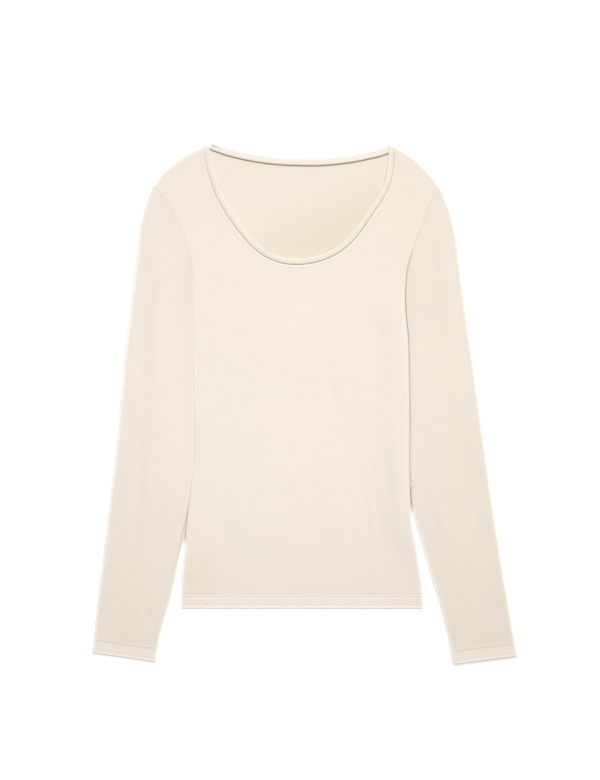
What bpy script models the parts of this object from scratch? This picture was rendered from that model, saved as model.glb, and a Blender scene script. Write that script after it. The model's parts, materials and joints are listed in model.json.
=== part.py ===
"""Long-sleeved scoop-neck jersey top, laid flat with its front up.

Frame: metres, +Z up. The top lies on the plane Z = 0 with its neck towards +Y, and the origin is under the
middle of its outline. Sizes below are in millimetres. The tables give plan points in the garment's own
coordinates, x from the middle of the hem and y up from the hem's edge; MIDDLE is where the origin lies in them.
"left" and "right" are those of someone who looks down on the front.
"""
import math
from collections import namedtuple

import bmesh
import bpy
import numpy as np
from mathutils import Vector

MM = 0.001
MIDDLE = Vector((4.15, 266.2))

# ---------------------------------------------------------------- cloth and seams
CLOTH = 1.2  # wall of one layer
SEAM_GAP = 0.3  # between sewn edges, and between the layers
SIDE_GAP = 0.4  # between a sleeve and the body that it lies beside
HEM_DEPTH = 18.6
CUFF_DEPTH = 13.5
TURN_UP = 0.4  # what the turned-up edge adds to the wall
STEP = 2.0  # over which the turned-up wall comes back to the single one
BINDING_FRONT = 8.6  # the front binding is rolled a little narrower than the back one
BINDING_BACK = 9.9
BINDING_WALL = 2.0
BINDING_LOW = 2.5  # middle height of the front binding
BINDING_HIGH = 3.3  # where it crosses the back binding at the shoulders
FAN = 14.0  # length of neckline over which the binding turns at a shoulder

# ---------------------------------------------------------------- the right side, laid over the sleeve
LIFT = 3.3  # how far the sleeve under it raises the body
LIFT_FLAT = 15.0  # width that lies on the sleeve
LIFT_RAMP = 36.0  # width over which the body comes down
LIFT_TOP = 372.0
LIFT_FRONT_START = 445.0
LIFT_BACK_START = 412.0
LIFT_FOOT = 118.0
LIFT_END = 80.0
TUCK = 8.0  # how far the sleeve's edge lies under the body
TUCK_TOP = 352.0
TUCK_RAMP = 36.0

# ---------------------------------------------------------------- how finely the pieces are divided
ARMHOLE_PARTS = 10
CHEST_PARTS = 16
BODY_ROWS = 20
YOKE_ROWS = 6
FREE_SLEEVE_ROWS = 10
ROUND_PARTS = 4  # of a sleeve's folded edge
TURN_PARTS = 5  # of the binding's turn over a shoulder
EDGE_COLUMNS = (0.0, 5.0, 14.0, 26.0)  # distances of the panels' outer columns from the side seam
NECK_SHARE_FRONT = 0.3  # share of the neckline that faces each armhole
NECK_SHARE_BACK = 0.2

Point = namedtuple("Point", "x y")
Swell = namedtuple("Swell", "x y half_width half_length turn rise")

SIDE_LEFT = (
    Point(-157.8, 0.0),
    Point(-157.2, 30.0),
    Point(-155.0, 56.0),
    Point(-152.3, 84.0),
    Point(-149.3, 117.0),
    Point(-144.3, 155.0),
    Point(-139.6, 192.0),
    Point(-139.2, 235.0),
    Point(-140.4, 290.0),
    Point(-140.8, 345.0),
    Point(-140.8, 395.0),
    Point(-140.7, 427.0),
)
SIDE_RIGHT = (
    Point(158.8, 0.0),
    Point(157.2, 28.0),
    Point(153.4, 55.0),
    Point(149.8, 82.0),
    Point(145.4, 107.0),
    Point(141.9, 145.0),
    Point(140.7, 195.0),
    Point(140.9, 245.0),
    Point(140.4, 292.0),
    Point(139.0, 345.0),
    Point(135.3, 385.0),
    Point(134.3, 412.0),
)
ARMHOLE_LEFT = (
    Point(-140.7, 427.0),
    Point(-144.3, 455.0),
    Point(-151.5, 480.0),
    Point(-161.5, 505.0),
    Point(-175.0, 528.4),
    Point(-193.4, 549.2),
)
ARMHOLE_RIGHT = (
    Point(134.3, 412.0),
    Point(137.4, 442.0),
    Point(145.0, 468.5),
    Point(154.6, 494.0),
    Point(165.2, 523.0),
    Point(180.3, 547.2),
)
SHOULDER_LEFT = (
    Point(-128.4, 600.2),
    Point(-139.8, 596.4),
    Point(-151.0, 589.4),
    Point(-165.5, 579.5),
    Point(-180.4, 566.6),
    Point(-193.4, 549.2),
)
SHOULDER_RIGHT = (
    Point(121.2, 600.2),
    Point(131.2, 595.0),
    Point(146.0, 585.0),
    Point(158.6, 573.4),
    Point(170.4, 561.0),
    Point(180.3, 547.2),
)
NECK_FRONT = (
    Point(-128.4, 600.2),
    Point(-125.8, 584.0),
    Point(-120.4, 560.8),
    Point(-110.4, 534.4),
    Point(-96.8, 510.4),
    Point(-80.4, 487.6),
    Point(-63.4, 468.7),
    Point(-46.8, 456.7),
    Point(-26.6, 448.4),
    Point(-4.4, 446.2),
    Point(18.0, 449.4),
    Point(40.4, 458.0),
    Point(60.6, 471.8),
    Point(76.8, 490.2),
    Point(91.2, 511.4),
    Point(104.8, 531.2),
    Point(114.2, 550.8),
    Point(118.8, 572.0),
    Point(121.2, 600.2),
)
NECK_BACK = (
    Point(-128.4, 600.2),
    Point(-124.6, 597.8),
    Point(-118.2, 595.9),
    Point(-98.4, 588.9),
    Point(-68.8, 581.7),
    Point(-36.0, 577.0),
    Point(-5.0, 575.4),
    Point(26.0, 575.4),
    Point(60.0, 578.8),
    Point(90.4, 584.6),
    Point(111.0, 590.4),
    Point(117.6, 594.6),
    Point(121.2, 600.2),
)
FOLD_LEFT = Point(-119.6, 603.3)  # the binding's free edge where it turns over the shoulders
FOLD_RIGHT = Point(112.6, 602.6)
CHEST_DIP = 38.0  # how far the line between the underarms passes below them in the middle

SLEEVE_LEFT_OUTER = (
    Point(-272.1, -57.8),
    Point(-266.7, -2.9),
    Point(-259.6, 55.0),
    Point(-250.6, 133.0),
    Point(-240.9, 215.0),
    Point(-233.8, 290.0),
    Point(-226.7, 360.0),
    Point(-218.8, 425.0),
    Point(-212.0, 484.0),
    Point(-205.9, 517.0),
    Point(-194.2, 549.6),
)
SLEEVE_LEFT_INNER = (
    Point(-189.2, -69.8),
    Point(-183.8, -40.0),
    Point(-176.4, -11.0),
    Point(-168.4, 16.0),
    Point(-159.8, 53.0),
    Point(-155.2, 84.0),
    Point(-149.8, 117.0),
)
SLEEVE_RIGHT_OUTER = (
    Point(280.4, -62.2),
    Point(270.5, -2.9),
    Point(260.8, 55.0),
    Point(248.6, 134.0),
    Point(237.6, 214.0),
    Point(227.4, 290.0),
    Point(217.3, 360.0),
    Point(208.6, 425.0),
    Point(200.8, 484.0),
    Point(193.3, 517.0),
    Point(180.9, 547.6),
)
SLEEVE_RIGHT_INNER = (
    Point(195.7, -72.9),
    Point(187.6, -30.0),
    Point(179.2, 3.0),
    Point(167.8, 40.0),
    Point(155.6, 81.0),
    Point(144.3, 120.0),
)

# Where the front lies clear of the back, and a sleeve's upper layer clear of its lower one.
BODY_SWELLS = (
    Swell(-40.0, 345.0, 90.0, 95.0, -8.0, 1.3),
    Swell(55.0, 330.0, 65.0, 100.0, 6.0, 0.9),
    Swell(-25.0, 165.0, 95.0, 130.0, 4.0, 1.1),
    Swell(-70.0, 120.0, 55.0, 90.0, -10.0, 0.6),
    Swell(112.0, 190.0, 24.0, 130.0, 2.0, 0.9),
)
SLEEVE_SWELL = 0.9


# ---------------------------------------------------------------- plan curves
def smooth_step(value):
    """0 below 0, 1 above 1, and a smooth rise between."""
    value = min(max(value, 0.0), 1.0)
    return value * value * (3 - 2 * value)


def smooth_path(table, steps=10):
    """Close points along a Catmull-Rom curve through a table's rows."""
    knots = [Vector(row) for row in table]
    knots = [2 * knots[0] - knots[1], *knots, 2 * knots[-1] - knots[-2]]
    path = [knots[1]]
    for before, start, end, after in zip(knots, knots[1:], knots[2:], knots[3:]):
        for step in range(1, steps + 1):
            t = step / steps
            bend = (2 * before - 5 * start + 4 * end - after) * t**2
            twist = (3 * start - before - 3 * end + after) * t**3
            path.append(0.5 * (2 * start + (end - before) * t + bend + twist))
    return path


def walk(path, fractions):
    """The points at some fractions of a path's length."""
    spans = [(end - start).length for start, end in zip(path, path[1:])]
    reach = np.concatenate(([0.0], np.cumsum(spans)))
    places = np.asarray(fractions) * reach[-1]
    xs = np.interp(places, reach, [point.x for point in path])
    ys = np.interp(places, reach, [point.y for point in path])
    return [Vector(pair) for pair in zip(xs, ys)]


def evenly(parts):
    """The fractions that divide a length into equal parts."""
    return [part / parts for part in range(parts + 1)]


def at_height(path, height):
    """The x of a rising path at a height."""
    return float(np.interp(height, [point.y for point in path], [point.x for point in path]))


def normals(path):
    """The unit normals on the left-hand side of a path."""
    ends = [path[0], *path, path[-1]]
    ways = [(after - before).normalized() for before, after in zip(ends, ends[2:])]
    return [Vector((-way.y, way.x)) for way in ways]


def patch(near, far, start, end, across, along, bend=1.0):
    """Rows of points between four edges, as a Coons patch.

    near and far have a point for each fraction in across, start and end one for each in along. With a bend
    above 1 the far edge's curve fades sooner.
    """
    rows = []
    for v, first, last in zip(along, start, end):
        share = v**bend
        row = []
        for u, low, high in zip(across, near, far):
            low_bow = low - near[0].lerp(near[-1], u)
            high_bow = high - far[0].lerp(far[-1], u)
            row.append(first.lerp(last, u) + low_bow * (1 - share) + high_bow * share)
        rows.append(row)
    return rows


# ---------------------------------------------------------------- the outline
SIDES = {"left": smooth_path(SIDE_LEFT), "right": smooth_path(SIDE_RIGHT)}
ARMHOLES = {
    "left": walk(smooth_path(ARMHOLE_LEFT), evenly(ARMHOLE_PARTS)),
    "right": walk(smooth_path(ARMHOLE_RIGHT), evenly(ARMHOLE_PARTS)),
}
SHOULDERS = {
    "left": walk(smooth_path(SHOULDER_LEFT), evenly(YOKE_ROWS)),
    "right": walk(smooth_path(SHOULDER_RIGHT), evenly(YOKE_ROWS)),
}


def row_fractions():
    """The panels' rows from hem to underarm: two at the hem's stitching, then even ones."""
    underarm = SIDE_LEFT[-1].y
    hem = [0.0, (HEM_DEPTH - STEP) / underarm, HEM_DEPTH / underarm]
    return hem + [hem[-1] + (1 - hem[-1]) * row / BODY_ROWS for row in range(1, BODY_ROWS + 1)]


def side_points(side):
    """The side seam's points, one for each row."""
    path = SIDES[side]
    heights = [fraction * path[-1].y for fraction in row_fractions()]
    return [Vector((at_height(path, height), height)) for height in heights]


def column_fractions():
    """The panels' columns: close ones beside the side seams, even ones between."""
    width = SIDE_RIGHT[-1].x - SIDE_LEFT[-1].x
    edge = [distance / width for distance in EDGE_COLUMNS]
    inner = CHEST_PARTS - 2 * len(EDGE_COLUMNS) + 2
    middle = [edge[-1] + (1 - 2 * edge[-1]) * part / inner for part in range(1, inner)]
    return edge + middle + [1 - fraction for fraction in reversed(edge)]


def neck_points(table, share):
    """The neckline's points: a share of it faces each armhole, and the rest the chest."""
    ends = [share * part / ARMHOLE_PARTS for part in range(ARMHOLE_PARTS)]
    middle = [share + (1 - 2 * share) * part / CHEST_PARTS for part in range(CHEST_PARTS)]
    return walk(smooth_path(table), ends + middle + [1 - part for part in reversed([*ends, share])])


# ---------------------------------------------------------------- heights
def turn_up(height, depth):
    """What the turned-up edge adds to the wall, at a height above that edge."""
    return TURN_UP * (1 - smooth_step((height - depth + STEP) / STEP))


def swell_at(x, y):
    """How far the front stands clear of the back."""
    total = 0.0
    for swell in BODY_SWELLS:
        angle = math.radians(swell.turn)
        dx = x - swell.x
        dy = y - swell.y
        u = (dx * math.cos(angle) + dy * math.sin(angle)) / swell.half_width
        v = (dy * math.cos(angle) - dx * math.sin(angle)) / swell.half_length
        total += swell.rise * max(0.0, 1 - u * u - v * v) ** 2
    return total


def side_lift(x, y, start):
    """How far the sleeve under the right side raises a panel, from the height where that starts."""
    path = SIDES["right"] + ARMHOLES["right"][1:]
    inward = at_height(path, y) - x
    across = 1 - smooth_step((inward - LIFT_FLAT) / LIFT_RAMP)
    above = smooth_step((start - y) / (start - LIFT_TOP))
    below = smooth_step((y - LIFT_END) / (LIFT_FOOT - LIFT_END))
    return LIFT * across * above * below


def back_under(x, y):
    return side_lift(x, y, LIFT_BACK_START)


def back_over(x, y):
    return back_under(x, y) + CLOTH + turn_up(y, HEM_DEPTH)


def front_under(x, y):
    lift = side_lift(x, y, LIFT_FRONT_START)
    return lift + CLOTH + turn_up(y, HEM_DEPTH) + SEAM_GAP + swell_at(x, y)


def front_over(x, y):
    return front_under(x, y) + CLOTH + turn_up(y, HEM_DEPTH)


# ---------------------------------------------------------------- making the pieces
def add_sheet(bm, rows):
    """A grid of faces with the given rows of points at its corners."""
    across = len(rows[0]) - 1
    along = len(rows) - 1
    grid = bmesh.ops.create_grid(bm, x_segments=across, y_segments=along, size=1.0)
    for vert in grid["verts"]:
        column = round((vert.co.x + 1) / 2 * across)
        row = round((vert.co.y + 1) / 2 * along)
        vert.co = rows[row][column].to_3d()


def finish(bm, name, colour):
    """Weld the seams of the grids, move the piece to its place and make it an object."""
    bmesh.ops.remove_doubles(bm, verts=bm.verts[:], dist=0.001)
    bmesh.ops.recalc_face_normals(bm, faces=bm.faces[:])
    for vert in bm.verts:
        vert.co = (vert.co - MIDDLE.to_3d()) * MM
    mesh = bpy.data.meshes.new(name)
    bm.to_mesh(mesh)
    bm.free()
    mesh.shade_smooth()
    mesh.set_sharp_from_angle(angle=math.radians(50))
    mesh.materials.append(cloth_material(name, colour))
    piece = bpy.data.objects.new(name, mesh)
    bpy.data.collections["thermal_top"].objects.link(piece)
    return piece


def cloth_material(name, colour):
    """A matt jersey."""
    material = bpy.data.materials.new(name + "_cloth")
    material.use_nodes = True
    shader = material.node_tree.nodes["Principled BSDF"]
    shader.inputs["Base Color"].default_value = (*colour, 1)
    shader.inputs["Roughness"].default_value = 0.9
    shader.inputs["Metallic"].default_value = 0.0
    return material


def panel(name, neck, under, over, colour):
    """The front or the back: a body below the chest line and a yoke from there to the neck."""
    columns = column_fractions()
    hem = [Vector(SIDE_LEFT[0]).lerp(Vector(SIDE_RIGHT[0]), u) for u in columns]
    left = side_points("left")
    right = side_points("right")
    chest = []
    for u in columns:
        dip = Vector((0, CHEST_DIP * math.sin(math.pi * u)))
        chest.append(left[-1].lerp(right[-1], u) - dip)
    body = patch(hem, chest, left, right, columns, row_fractions())

    outer = ARMHOLES["left"][:0:-1] + chest + ARMHOLES["right"][1:]
    around = evenly(len(outer) - 1)
    yoke = patch(neck, outer, SHOULDERS["left"], SHOULDERS["right"], around, evenly(YOKE_ROWS))

    bm = bmesh.new()
    add_sheet(bm, body)
    add_sheet(bm, yoke)
    bmesh.ops.remove_doubles(bm, verts=bm.verts[:], dist=0.001)
    raised = bmesh.ops.extrude_face_region(bm, geom=bm.faces[:])["geom"]
    upper = {item for item in raised if isinstance(item, bmesh.types.BMVert)}
    for vert in bm.verts:
        surface = over if vert in upper else under
        vert.co.z = surface(vert.co.x, vert.co.y)
    return finish(bm, name, colour)


def sleeve_edges(side):
    """The sleeve's inner and outer edges, a point for each ring from the cuff to the armhole."""
    sign = 1 if side == "right" else -1
    free = smooth_path(SLEEVE_RIGHT_INNER if side == "right" else SLEEVE_LEFT_INNER)
    cuff_length = sum((end - start).length for start, end in zip(free, free[1:]))
    cuff = [0.0, (CUFF_DEPTH - STEP) / cuff_length, CUFF_DEPTH / cuff_length]
    rest = [cuff[-1] + (1 - cuff[-1]) * row / FREE_SLEEVE_ROWS for row in range(1, FREE_SLEEVE_ROWS + 1)]
    inner = walk(free, cuff + rest)
    for point in side_points(side):
        if point.y > inner[-1].y + STEP:
            inner.append(point + Vector((sign * (SIDE_GAP - tuck_at(side, point.y)), 0)))

    outer_path = smooth_path(SLEEVE_RIGHT_OUTER if side == "right" else SLEEVE_LEFT_OUTER)
    low = outer_path[0].y - inner[0].y
    high = outer_path[-1].y - inner[-1].y
    outer = []
    for point in inner:
        share = (point.y - inner[0].y) / (inner[-1].y - inner[0].y)
        height = point.y + low + (high - low) * share**3
        outer.append(Vector((at_height(outer_path, height), height)))
    return inner, outer


def tuck_at(side, height):
    """How far the sleeve's inner edge lies under the body."""
    if side == "left":
        return 0.0
    above = smooth_step((TUCK_TOP - height) / TUCK_RAMP)
    below = smooth_step((height - SLEEVE_RIGHT_INNER[-1].y) / TUCK_RAMP)
    return (TUCK + SIDE_GAP) * above * below


def sleeve(name, side, colour):
    """A flattened tube, open at the cuff and the armhole, made as a closed loop of rings.

    The rings go up the outer skin to the armhole and down the inner skin to the cuff.
    """
    inner, outer = sleeve_edges(side)
    half = CLOTH + SEAM_GAP / 2
    sign = 1 if side == "right" else -1
    armhole = ARMHOLES[side]
    sewn = [point + sign * SEAM_GAP * -normal for point, normal in zip(armhole, normals(armhole))]
    length = sum((end - start).length for start, end in zip(sewn, sewn[1:]))
    inset = half / length
    stations = evenly(ARMHOLE_PARTS)
    far = walk(sewn, [inset + (1 - 2 * inset) * station for station in stations])[::-1]

    start = []
    end = []
    for low, high in zip(outer, inner):
        way = (high - low).normalized()
        start.append(low + half * way)
        end.append(high - half * way)
    start[-1] = far[0]
    end[-1] = far[-1]
    near = [start[0].lerp(end[0], station) for station in stations]
    reach = [(point.y - inner[0].y) / (inner[-1].y - inner[0].y) for point in inner]
    spines = patch(near, far, start, end, stations, reach, bend=2.0)

    outside = []
    inside = []
    for spine, share, edge in zip(spines, reach, inner):
        wall = CLOTH + turn_up((edge - inner[0]).length, CUFF_DEPTH)
        middle = wall + SEAM_GAP / 2
        swell = SLEEVE_SWELL * math.sin(math.pi * share)
        outside.append(ring(spine, middle, middle, swell))
        inside.append(ring(spine, middle, SEAM_GAP / 2, swell))
    rows = outside + inside[::-1] + outside[:1]
    bm = bmesh.new()
    add_sheet(bm, rows)
    return finish(bm, name, colour)


def ring(spine, middle, radius, swell):
    """One skin of a sleeve's section: over the top, round the inner edge, back below and round the outer."""
    points = []
    last = len(spine) - 1
    for index, place in enumerate(spine):
        rise = swell * math.sin(math.pi * index / last) ** 2
        points.append(place.to_3d() + Vector((0, 0, middle + radius + rise)))
    points += round_edge(spine[-1], spine[-1] - spine[-2], middle, radius, 1)
    points += [place.to_3d() + Vector((0, 0, middle - radius)) for place in reversed(spine)]
    points += round_edge(spine[0], spine[0] - spine[1], middle, radius, -1)
    return points + points[:1]


def round_edge(place, way, middle, radius, turn):
    """The points between the layers on a folded edge, downwards for a turn of 1 and upwards for -1."""
    points = []
    for part in range(1, ROUND_PARTS):
        angle = math.pi * part / ROUND_PARTS
        out = way.normalized() * radius * math.sin(angle)
        points.append((place + out).to_3d() + Vector((0, 0, middle + turn * radius * math.cos(angle))))
    return points


def binding_stations(neck, width, outward):
    """The binding's sewn and free edges along half of the neck, with each point's distance from a shoulder."""
    spans = [0.0]
    for start, end in zip(neck, neck[1:]):
        spans.append(spans[-1] + (end - start).length)
    stations = []
    for point, normal, reach in zip(neck, normals(neck), spans):
        near_end = min(reach, spans[-1] - reach)
        fold = Vector(FOLD_LEFT if reach < spans[-1] / 2 else FOLD_RIGHT)
        sewn = point + normal * SEAM_GAP
        free = sewn + normal * width
        free = free.lerp(fold, 1 - smooth_step(near_end / FAN))
        stations.append((sewn, free, outward, near_end))
    return stations


def binding_section(sewn, free, middle, outward):
    """A flat section with a rounded free edge; outward is the direction that its outer face looks in."""
    outline = ((0.0, -1.0), (0.0, 1.0), (0.82, 1.0), (1.0, 0.4), (1.0, -0.4), (0.82, -1.0))
    points = []
    for across, through in outline:
        place = sewn.lerp(free, across).to_3d() + Vector((0, 0, middle))
        points.append(place + outward * through * BINDING_WALL / 2)
    return points + points[:1]


def binding(name, neck_front, neck_back, colour):
    """One strip round the neck: along the front, over a shoulder, along the back and over the other."""
    up = Vector((0, 0, 1))
    front = binding_stations(neck_front, BINDING_FRONT, up)
    back = binding_stations(neck_back, BINDING_BACK, -up)
    back_middle = BINDING_WALL / 2
    rows = []
    for sewn, free, outward, near_end in front:
        rise = 1 - smooth_step((near_end - FAN) / (2 * FAN))
        middle = BINDING_LOW + (BINDING_HIGH - BINDING_LOW) * rise
        rows.append(binding_section(sewn, free, middle, outward))
    rows += shoulder_turn(front[-1], back[-1], BINDING_HIGH, back_middle)
    for sewn, free, outward, near_end in reversed(back):
        rows.append(binding_section(sewn, free, back_middle, outward))
    rows += shoulder_turn(back[0], front[0], back_middle, BINDING_HIGH)
    bm = bmesh.new()
    add_sheet(bm, rows + rows[:1])
    return finish(bm, name, colour)


def shoulder_turn(start, end, start_middle, end_middle):
    """The sections that carry the binding over a shoulder's fold, between two heights."""
    rows = []
    fold = (start[1] - start[0]).normalized()
    out = Vector((-fold.y, fold.x)) if fold.x > 0 else Vector((fold.y, -fold.x))
    centre = (start_middle + end_middle) / 2
    radius = abs(start_middle - end_middle) / 2
    for part in range(1, TURN_PARTS):
        share = part / TURN_PARTS
        angle = math.pi * share
        rise = start[2].z * math.cos(angle)
        face = out.to_3d() * math.sin(angle) + Vector((0, 0, rise))
        sewn = start[0].lerp(end[0], share) + out * math.sin(angle) * radius
        free = start[1].lerp(end[1], share) + out * math.sin(angle) * radius
        rows.append(binding_section(sewn, free, centre + rise * radius, face))
    return rows


def main():
    for item in list(bpy.data.objects):
        bpy.data.objects.remove(item, do_unlink=True)
    garment = bpy.data.collections.new("thermal_top")
    bpy.context.scene.collection.children.link(garment)

    neck_front = neck_points(NECK_FRONT, NECK_SHARE_FRONT)
    neck_back = neck_points(NECK_BACK, NECK_SHARE_BACK)
    panel("back_panel", neck_back, back_under, back_over, (0.83, 0.76, 0.65))
    panel("front_panel", neck_front, front_under, front_over, (0.88, 0.81, 0.72))
    sleeve("sleeve_left", "left", (0.86, 0.79, 0.70))
    sleeve("sleeve_right", "right", (0.86, 0.79, 0.70))
    binding("neck_binding", neck_front, neck_back, (0.90, 0.84, 0.75))


main()
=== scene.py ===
"""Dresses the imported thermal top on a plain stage: jersey panels and sleeves, binding, stitching.

Plan sizes are in millimetres in the garment's own plan: x from the middle of the hem, y up from
its edge. MIDDLE is where the frame's origin lies in that plan. The user's sizes and all meshes are
in metres. "left" and "right" are those of someone who looks down on the front. Where an edge has a
pair of values, the first holds where its seam is shallow and the second where it is deep.
"""
import json
import math
from collections import namedtuple

import bmesh
import bpy
import numpy as np
from bpy.props import FloatProperty, FloatVectorProperty, PointerProperty
from mathutils import Matrix, Vector
from mathutils.bvhtree import BVHTree
from mathutils.kdtree import KDTree

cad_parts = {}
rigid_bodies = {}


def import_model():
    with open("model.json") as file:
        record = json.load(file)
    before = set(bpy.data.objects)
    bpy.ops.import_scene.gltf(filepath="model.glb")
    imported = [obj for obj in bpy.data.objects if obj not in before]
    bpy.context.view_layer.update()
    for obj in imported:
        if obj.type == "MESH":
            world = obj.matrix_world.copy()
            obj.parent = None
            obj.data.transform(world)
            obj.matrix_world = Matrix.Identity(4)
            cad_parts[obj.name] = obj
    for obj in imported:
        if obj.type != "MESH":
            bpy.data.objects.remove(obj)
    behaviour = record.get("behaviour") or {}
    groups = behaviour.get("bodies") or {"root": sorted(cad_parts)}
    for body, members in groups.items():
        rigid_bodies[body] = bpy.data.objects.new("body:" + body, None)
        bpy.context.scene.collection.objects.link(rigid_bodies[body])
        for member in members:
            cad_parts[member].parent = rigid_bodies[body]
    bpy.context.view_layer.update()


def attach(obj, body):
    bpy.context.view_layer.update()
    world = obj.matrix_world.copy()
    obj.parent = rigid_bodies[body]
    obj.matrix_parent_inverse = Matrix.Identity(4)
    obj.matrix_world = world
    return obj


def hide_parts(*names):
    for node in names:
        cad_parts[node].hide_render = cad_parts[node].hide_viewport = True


bl_info = {
    "name": "Thermal Top",
    "version": (1, 0, 0),
    "blender": (4, 5, 0),
    "location": "3D View > Sidebar > Thermal Top",
    "description": "Finishes a long-sleeved jersey top that lies flat with its front up",
    "category": "Object",
}

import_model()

MM = 0.001
MIDDLE = np.array((4.15, 266.2))

# ------------------------------------------------------------ heights of the layers
CLOTH = 1.2  # wall of one layer
LAYER_GAP = 0.3  # between the layers, and between sewn edges
LIP = 0.12  # wall that is left at a sewn edge
SIDE_GAPS = {"left": 0.03, "right": 0.4}  # between a sleeve and the body that it lies beside
SEWN_GAPS = {"left": (0.02, 0.04), "right": (0.03, 0.32)}  # at the armholes
TURN_UP = 0.25  # what a turned-up edge adds to the wall
TURN_UP_FULL = 4.0  # how far above the edge it begins to fade, up to the upper row of stitches
FRONT_LOW = CLOTH + LAYER_GAP
SLEEVE_MIDDLE = (FRONT_LOW + CLOTH) / 2
SLEEVE_FOLD = 0.85  # radius of a sleeve's folded edge
CLOSING_STARTS = 0.85  # share of a sleeve's length where its edges turn to the armhole
SETTLED = -0.2  # how far the front may sink below its own height, and how softly it does

# ------------------------------------------------------------ the right side, laid over the sleeve
LIFT = 3.3  # how far the sleeve under it raises the body
LIFT_FLAT = 9.0  # width that lies on the sleeve
LIFT_RAMP = 38.0  # width over which the body comes down
LIFT_TOP = 372.0
LIFT_FRONT_START = 445.0
LIFT_BACK_START = 412.0
LIFT_FOOT = 125.0
LIFT_END = 22.0
TUCK = 8.0  # how far the sleeve's edge lies under the body
TUCK_TOP = 352.0
TUCK_RAMP = 36.0

# ------------------------------------------------------------ the seams
SHALLOW_ABOVE = 478.0  # height above which the armholes' are shallow
SHALLOW_RAMP = 40.0
NECK_TOP = 600.0  # height where the front neck's begins, level with the cloth
NECK_RAMP = 155.0  # height over which it grows deeper, down to the bottom of the scoop
NECK_GAPS = {"front": 0.05, "back": 0.04}
SPLIT_TOPS = {"left": 93.0, "right": 136.0}  # of the slits between the body and the sleeves
SPLIT_RAMP = 20.0
NEAR_SPLIT = {"left": 150.0, "right": 175.0}  # heights below which the sides' seams grow deep
NEAR_RAMP = 30.0
GROOVE = 0.22  # how far a row of stitches draws the cloth in
GROOVE_WIDTH = 0.85
CUFF_DRAWN = 0.2  # the same on a cuff
CUFF_LOWER_RISE = 0.06  # how far a cuff's top stands out under its lower row
CUFF_RIDGE = 0.24  # height of the ridge above its upper row
CUFF_RIDGE_ABOVE = 2.3
HEM_ROUND = 1.3  # width over which a turned-up edge rounds
CUFF_ROUND = 1.2
HEM_STRAYS = ((0.25, 21.0, 0.6), (0.15, 8.5, 0.0))  # waves of the hem's rows: height, length, start
HEM_DROPS = ((-160.0, 1.0), (160.0, 0.5))  # where they drop at the hem's ends, and how far
HEM_DROP_WIDTH = 12.0
CORNER = 4.5  # height of the rounded corners of the hem and the cuffs
CORNER_IN = 2.0  # and how far they come in
STITCH_INSET = 3.0  # from the ends of a row to the edges
STITCH_VARIES = 0.12  # share by which the stitches differ in length
ABOVE_ALL = 0.05  # in metres, from where their places on the cloth are sought

# ------------------------------------------------------------ how finely the pieces are divided
# Rows and columns beside a rounded edge, across a row of stitches, and across a cuff's ridge.
EDGE_STEPS = np.array((0.0, 0.12, 0.35, 0.7, 1.15, 1.7, 2.4, 3.3, 4.6))
GROOVE_STEPS = np.array((-1.0, -0.6, -0.25, 0.0, 0.25, 0.6, 1.0, 1.5, 2.1))
RIDGE_STEPS = np.array((2.7, 3.4))
CELL = 2.8  # rows and columns elsewhere
LEVEL_ROWS = 40.0  # height up to which the body's rows follow the hem
CHEST_DIP = 38.0  # how far the line between the underarms passes below them in the middle
NECK_SHARE_FRONT = 0.3  # share of the neckline that faces each armhole
NECK_SHARE_BACK = 0.2
TRACE = 0.15  # spacing of the points that distances are measured from
WELD = 0.001
FOLD_POINTS = 8  # of a sleeve's folded edge

# ------------------------------------------------------------ the neck binding
FAN = 14.0  # length over which its free edge swings to the shoulder's fold
FOLD_LEFT = (-119.4, 602.6)
FOLD_RIGHT = (112.6, 601.8)
BINDING_LOW = 2.5  # height of its middle along the scoop
BINDING_HIGH = 1.94  # and at the shoulders, over the back of itself
BINDING_THIN = 0.6  # its wall there, as a share of the whole
BINDING_PRESSED = 30.0  # length over which it is pressed thin beside a shoulder
BINDING_NARROWER = 0.6  # how much narrower it is up the scoop's sides than at the bottom
BOTTOM_SHARE = 0.15  # of its length, that is as wide as at the bottom
DOME_STARTS = (0.4, -0.1)  # heights of its dome at the seam, in half walls
BACK_DOME = 0.6  # how deep the seam beside its dome is behind, as a share
DOME_ENDS = (0.72, 0.26)  # shares of its width over which the dome rises and falls
FLAT_ENDS = (0.12, 0.16)  # and over which the flat side does
FOLD_DROP = 0.8  # how far inside the shoulders' line it folds over them
BINDING_STEP = 1.6
TURN_PARTS = 10
BINDING_ACROSS = np.sin(np.linspace(0, np.pi / 2, 15)) ** 2

# ------------------------------------------------------------ the materials
JERSEY_SHADER = {
    "Roughness": 0.92,
    "Specular IOR Level": 0.15,
    "Sheen Weight": 0.25,
    "Sheen Roughness": 0.45,
}
THREAD_SHADER = {"Roughness": 0.7, "Specular IOR Level": 0.3}
FLOOR_SHADER = {
    "Roughness": 0.85,
    "Specular IOR Level": 0.1,
    "Emission Color": (1.0, 1.0, 1.0, 1.0),
}
FACE_LEAN = 0.9  # how far the knit's stitches slope on its face and on its inside
INSIDE_LEAN = 0.25
LOOP_SHARE = 0.35  # of the loops in the knit's relief, beside the valleys between its columns
FUZZ_SHARE = 0.8
STREAK_TONE = 0.11
CLOUD_TONE = 0.03
# how much the knit is painted darker in its valleys and lighter on its loops
KNIT_RELIEF_SHADE = 0.025
THREAD_TONE = 0.08
TWIST_DEPTH = 0.05

# ------------------------------------------------------------ the stage
VIEW_CENTRE = (-6.5, 17.6)  # in millimetres from the frame's origin
FLOOR_SIZE = 20.0
FLOOR_DROP = 0.2  # in millimetres, so that the floor and the cloth don't share a plane
SENSOR = 36.0
LIGHTS = (  # name, place in metres, width and tint
    ("overhead", (-0.1, 0.0, 1.0), 0.7, (0.722, 0.87, 1.0)),
    ("slanting", (2.0, 3.6, 2.87), 1.5, (1.0, 0.943, 0.896)),
)
SURROUND_TINT = (1.0, 0.81, 0.64, 1.0)

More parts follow.
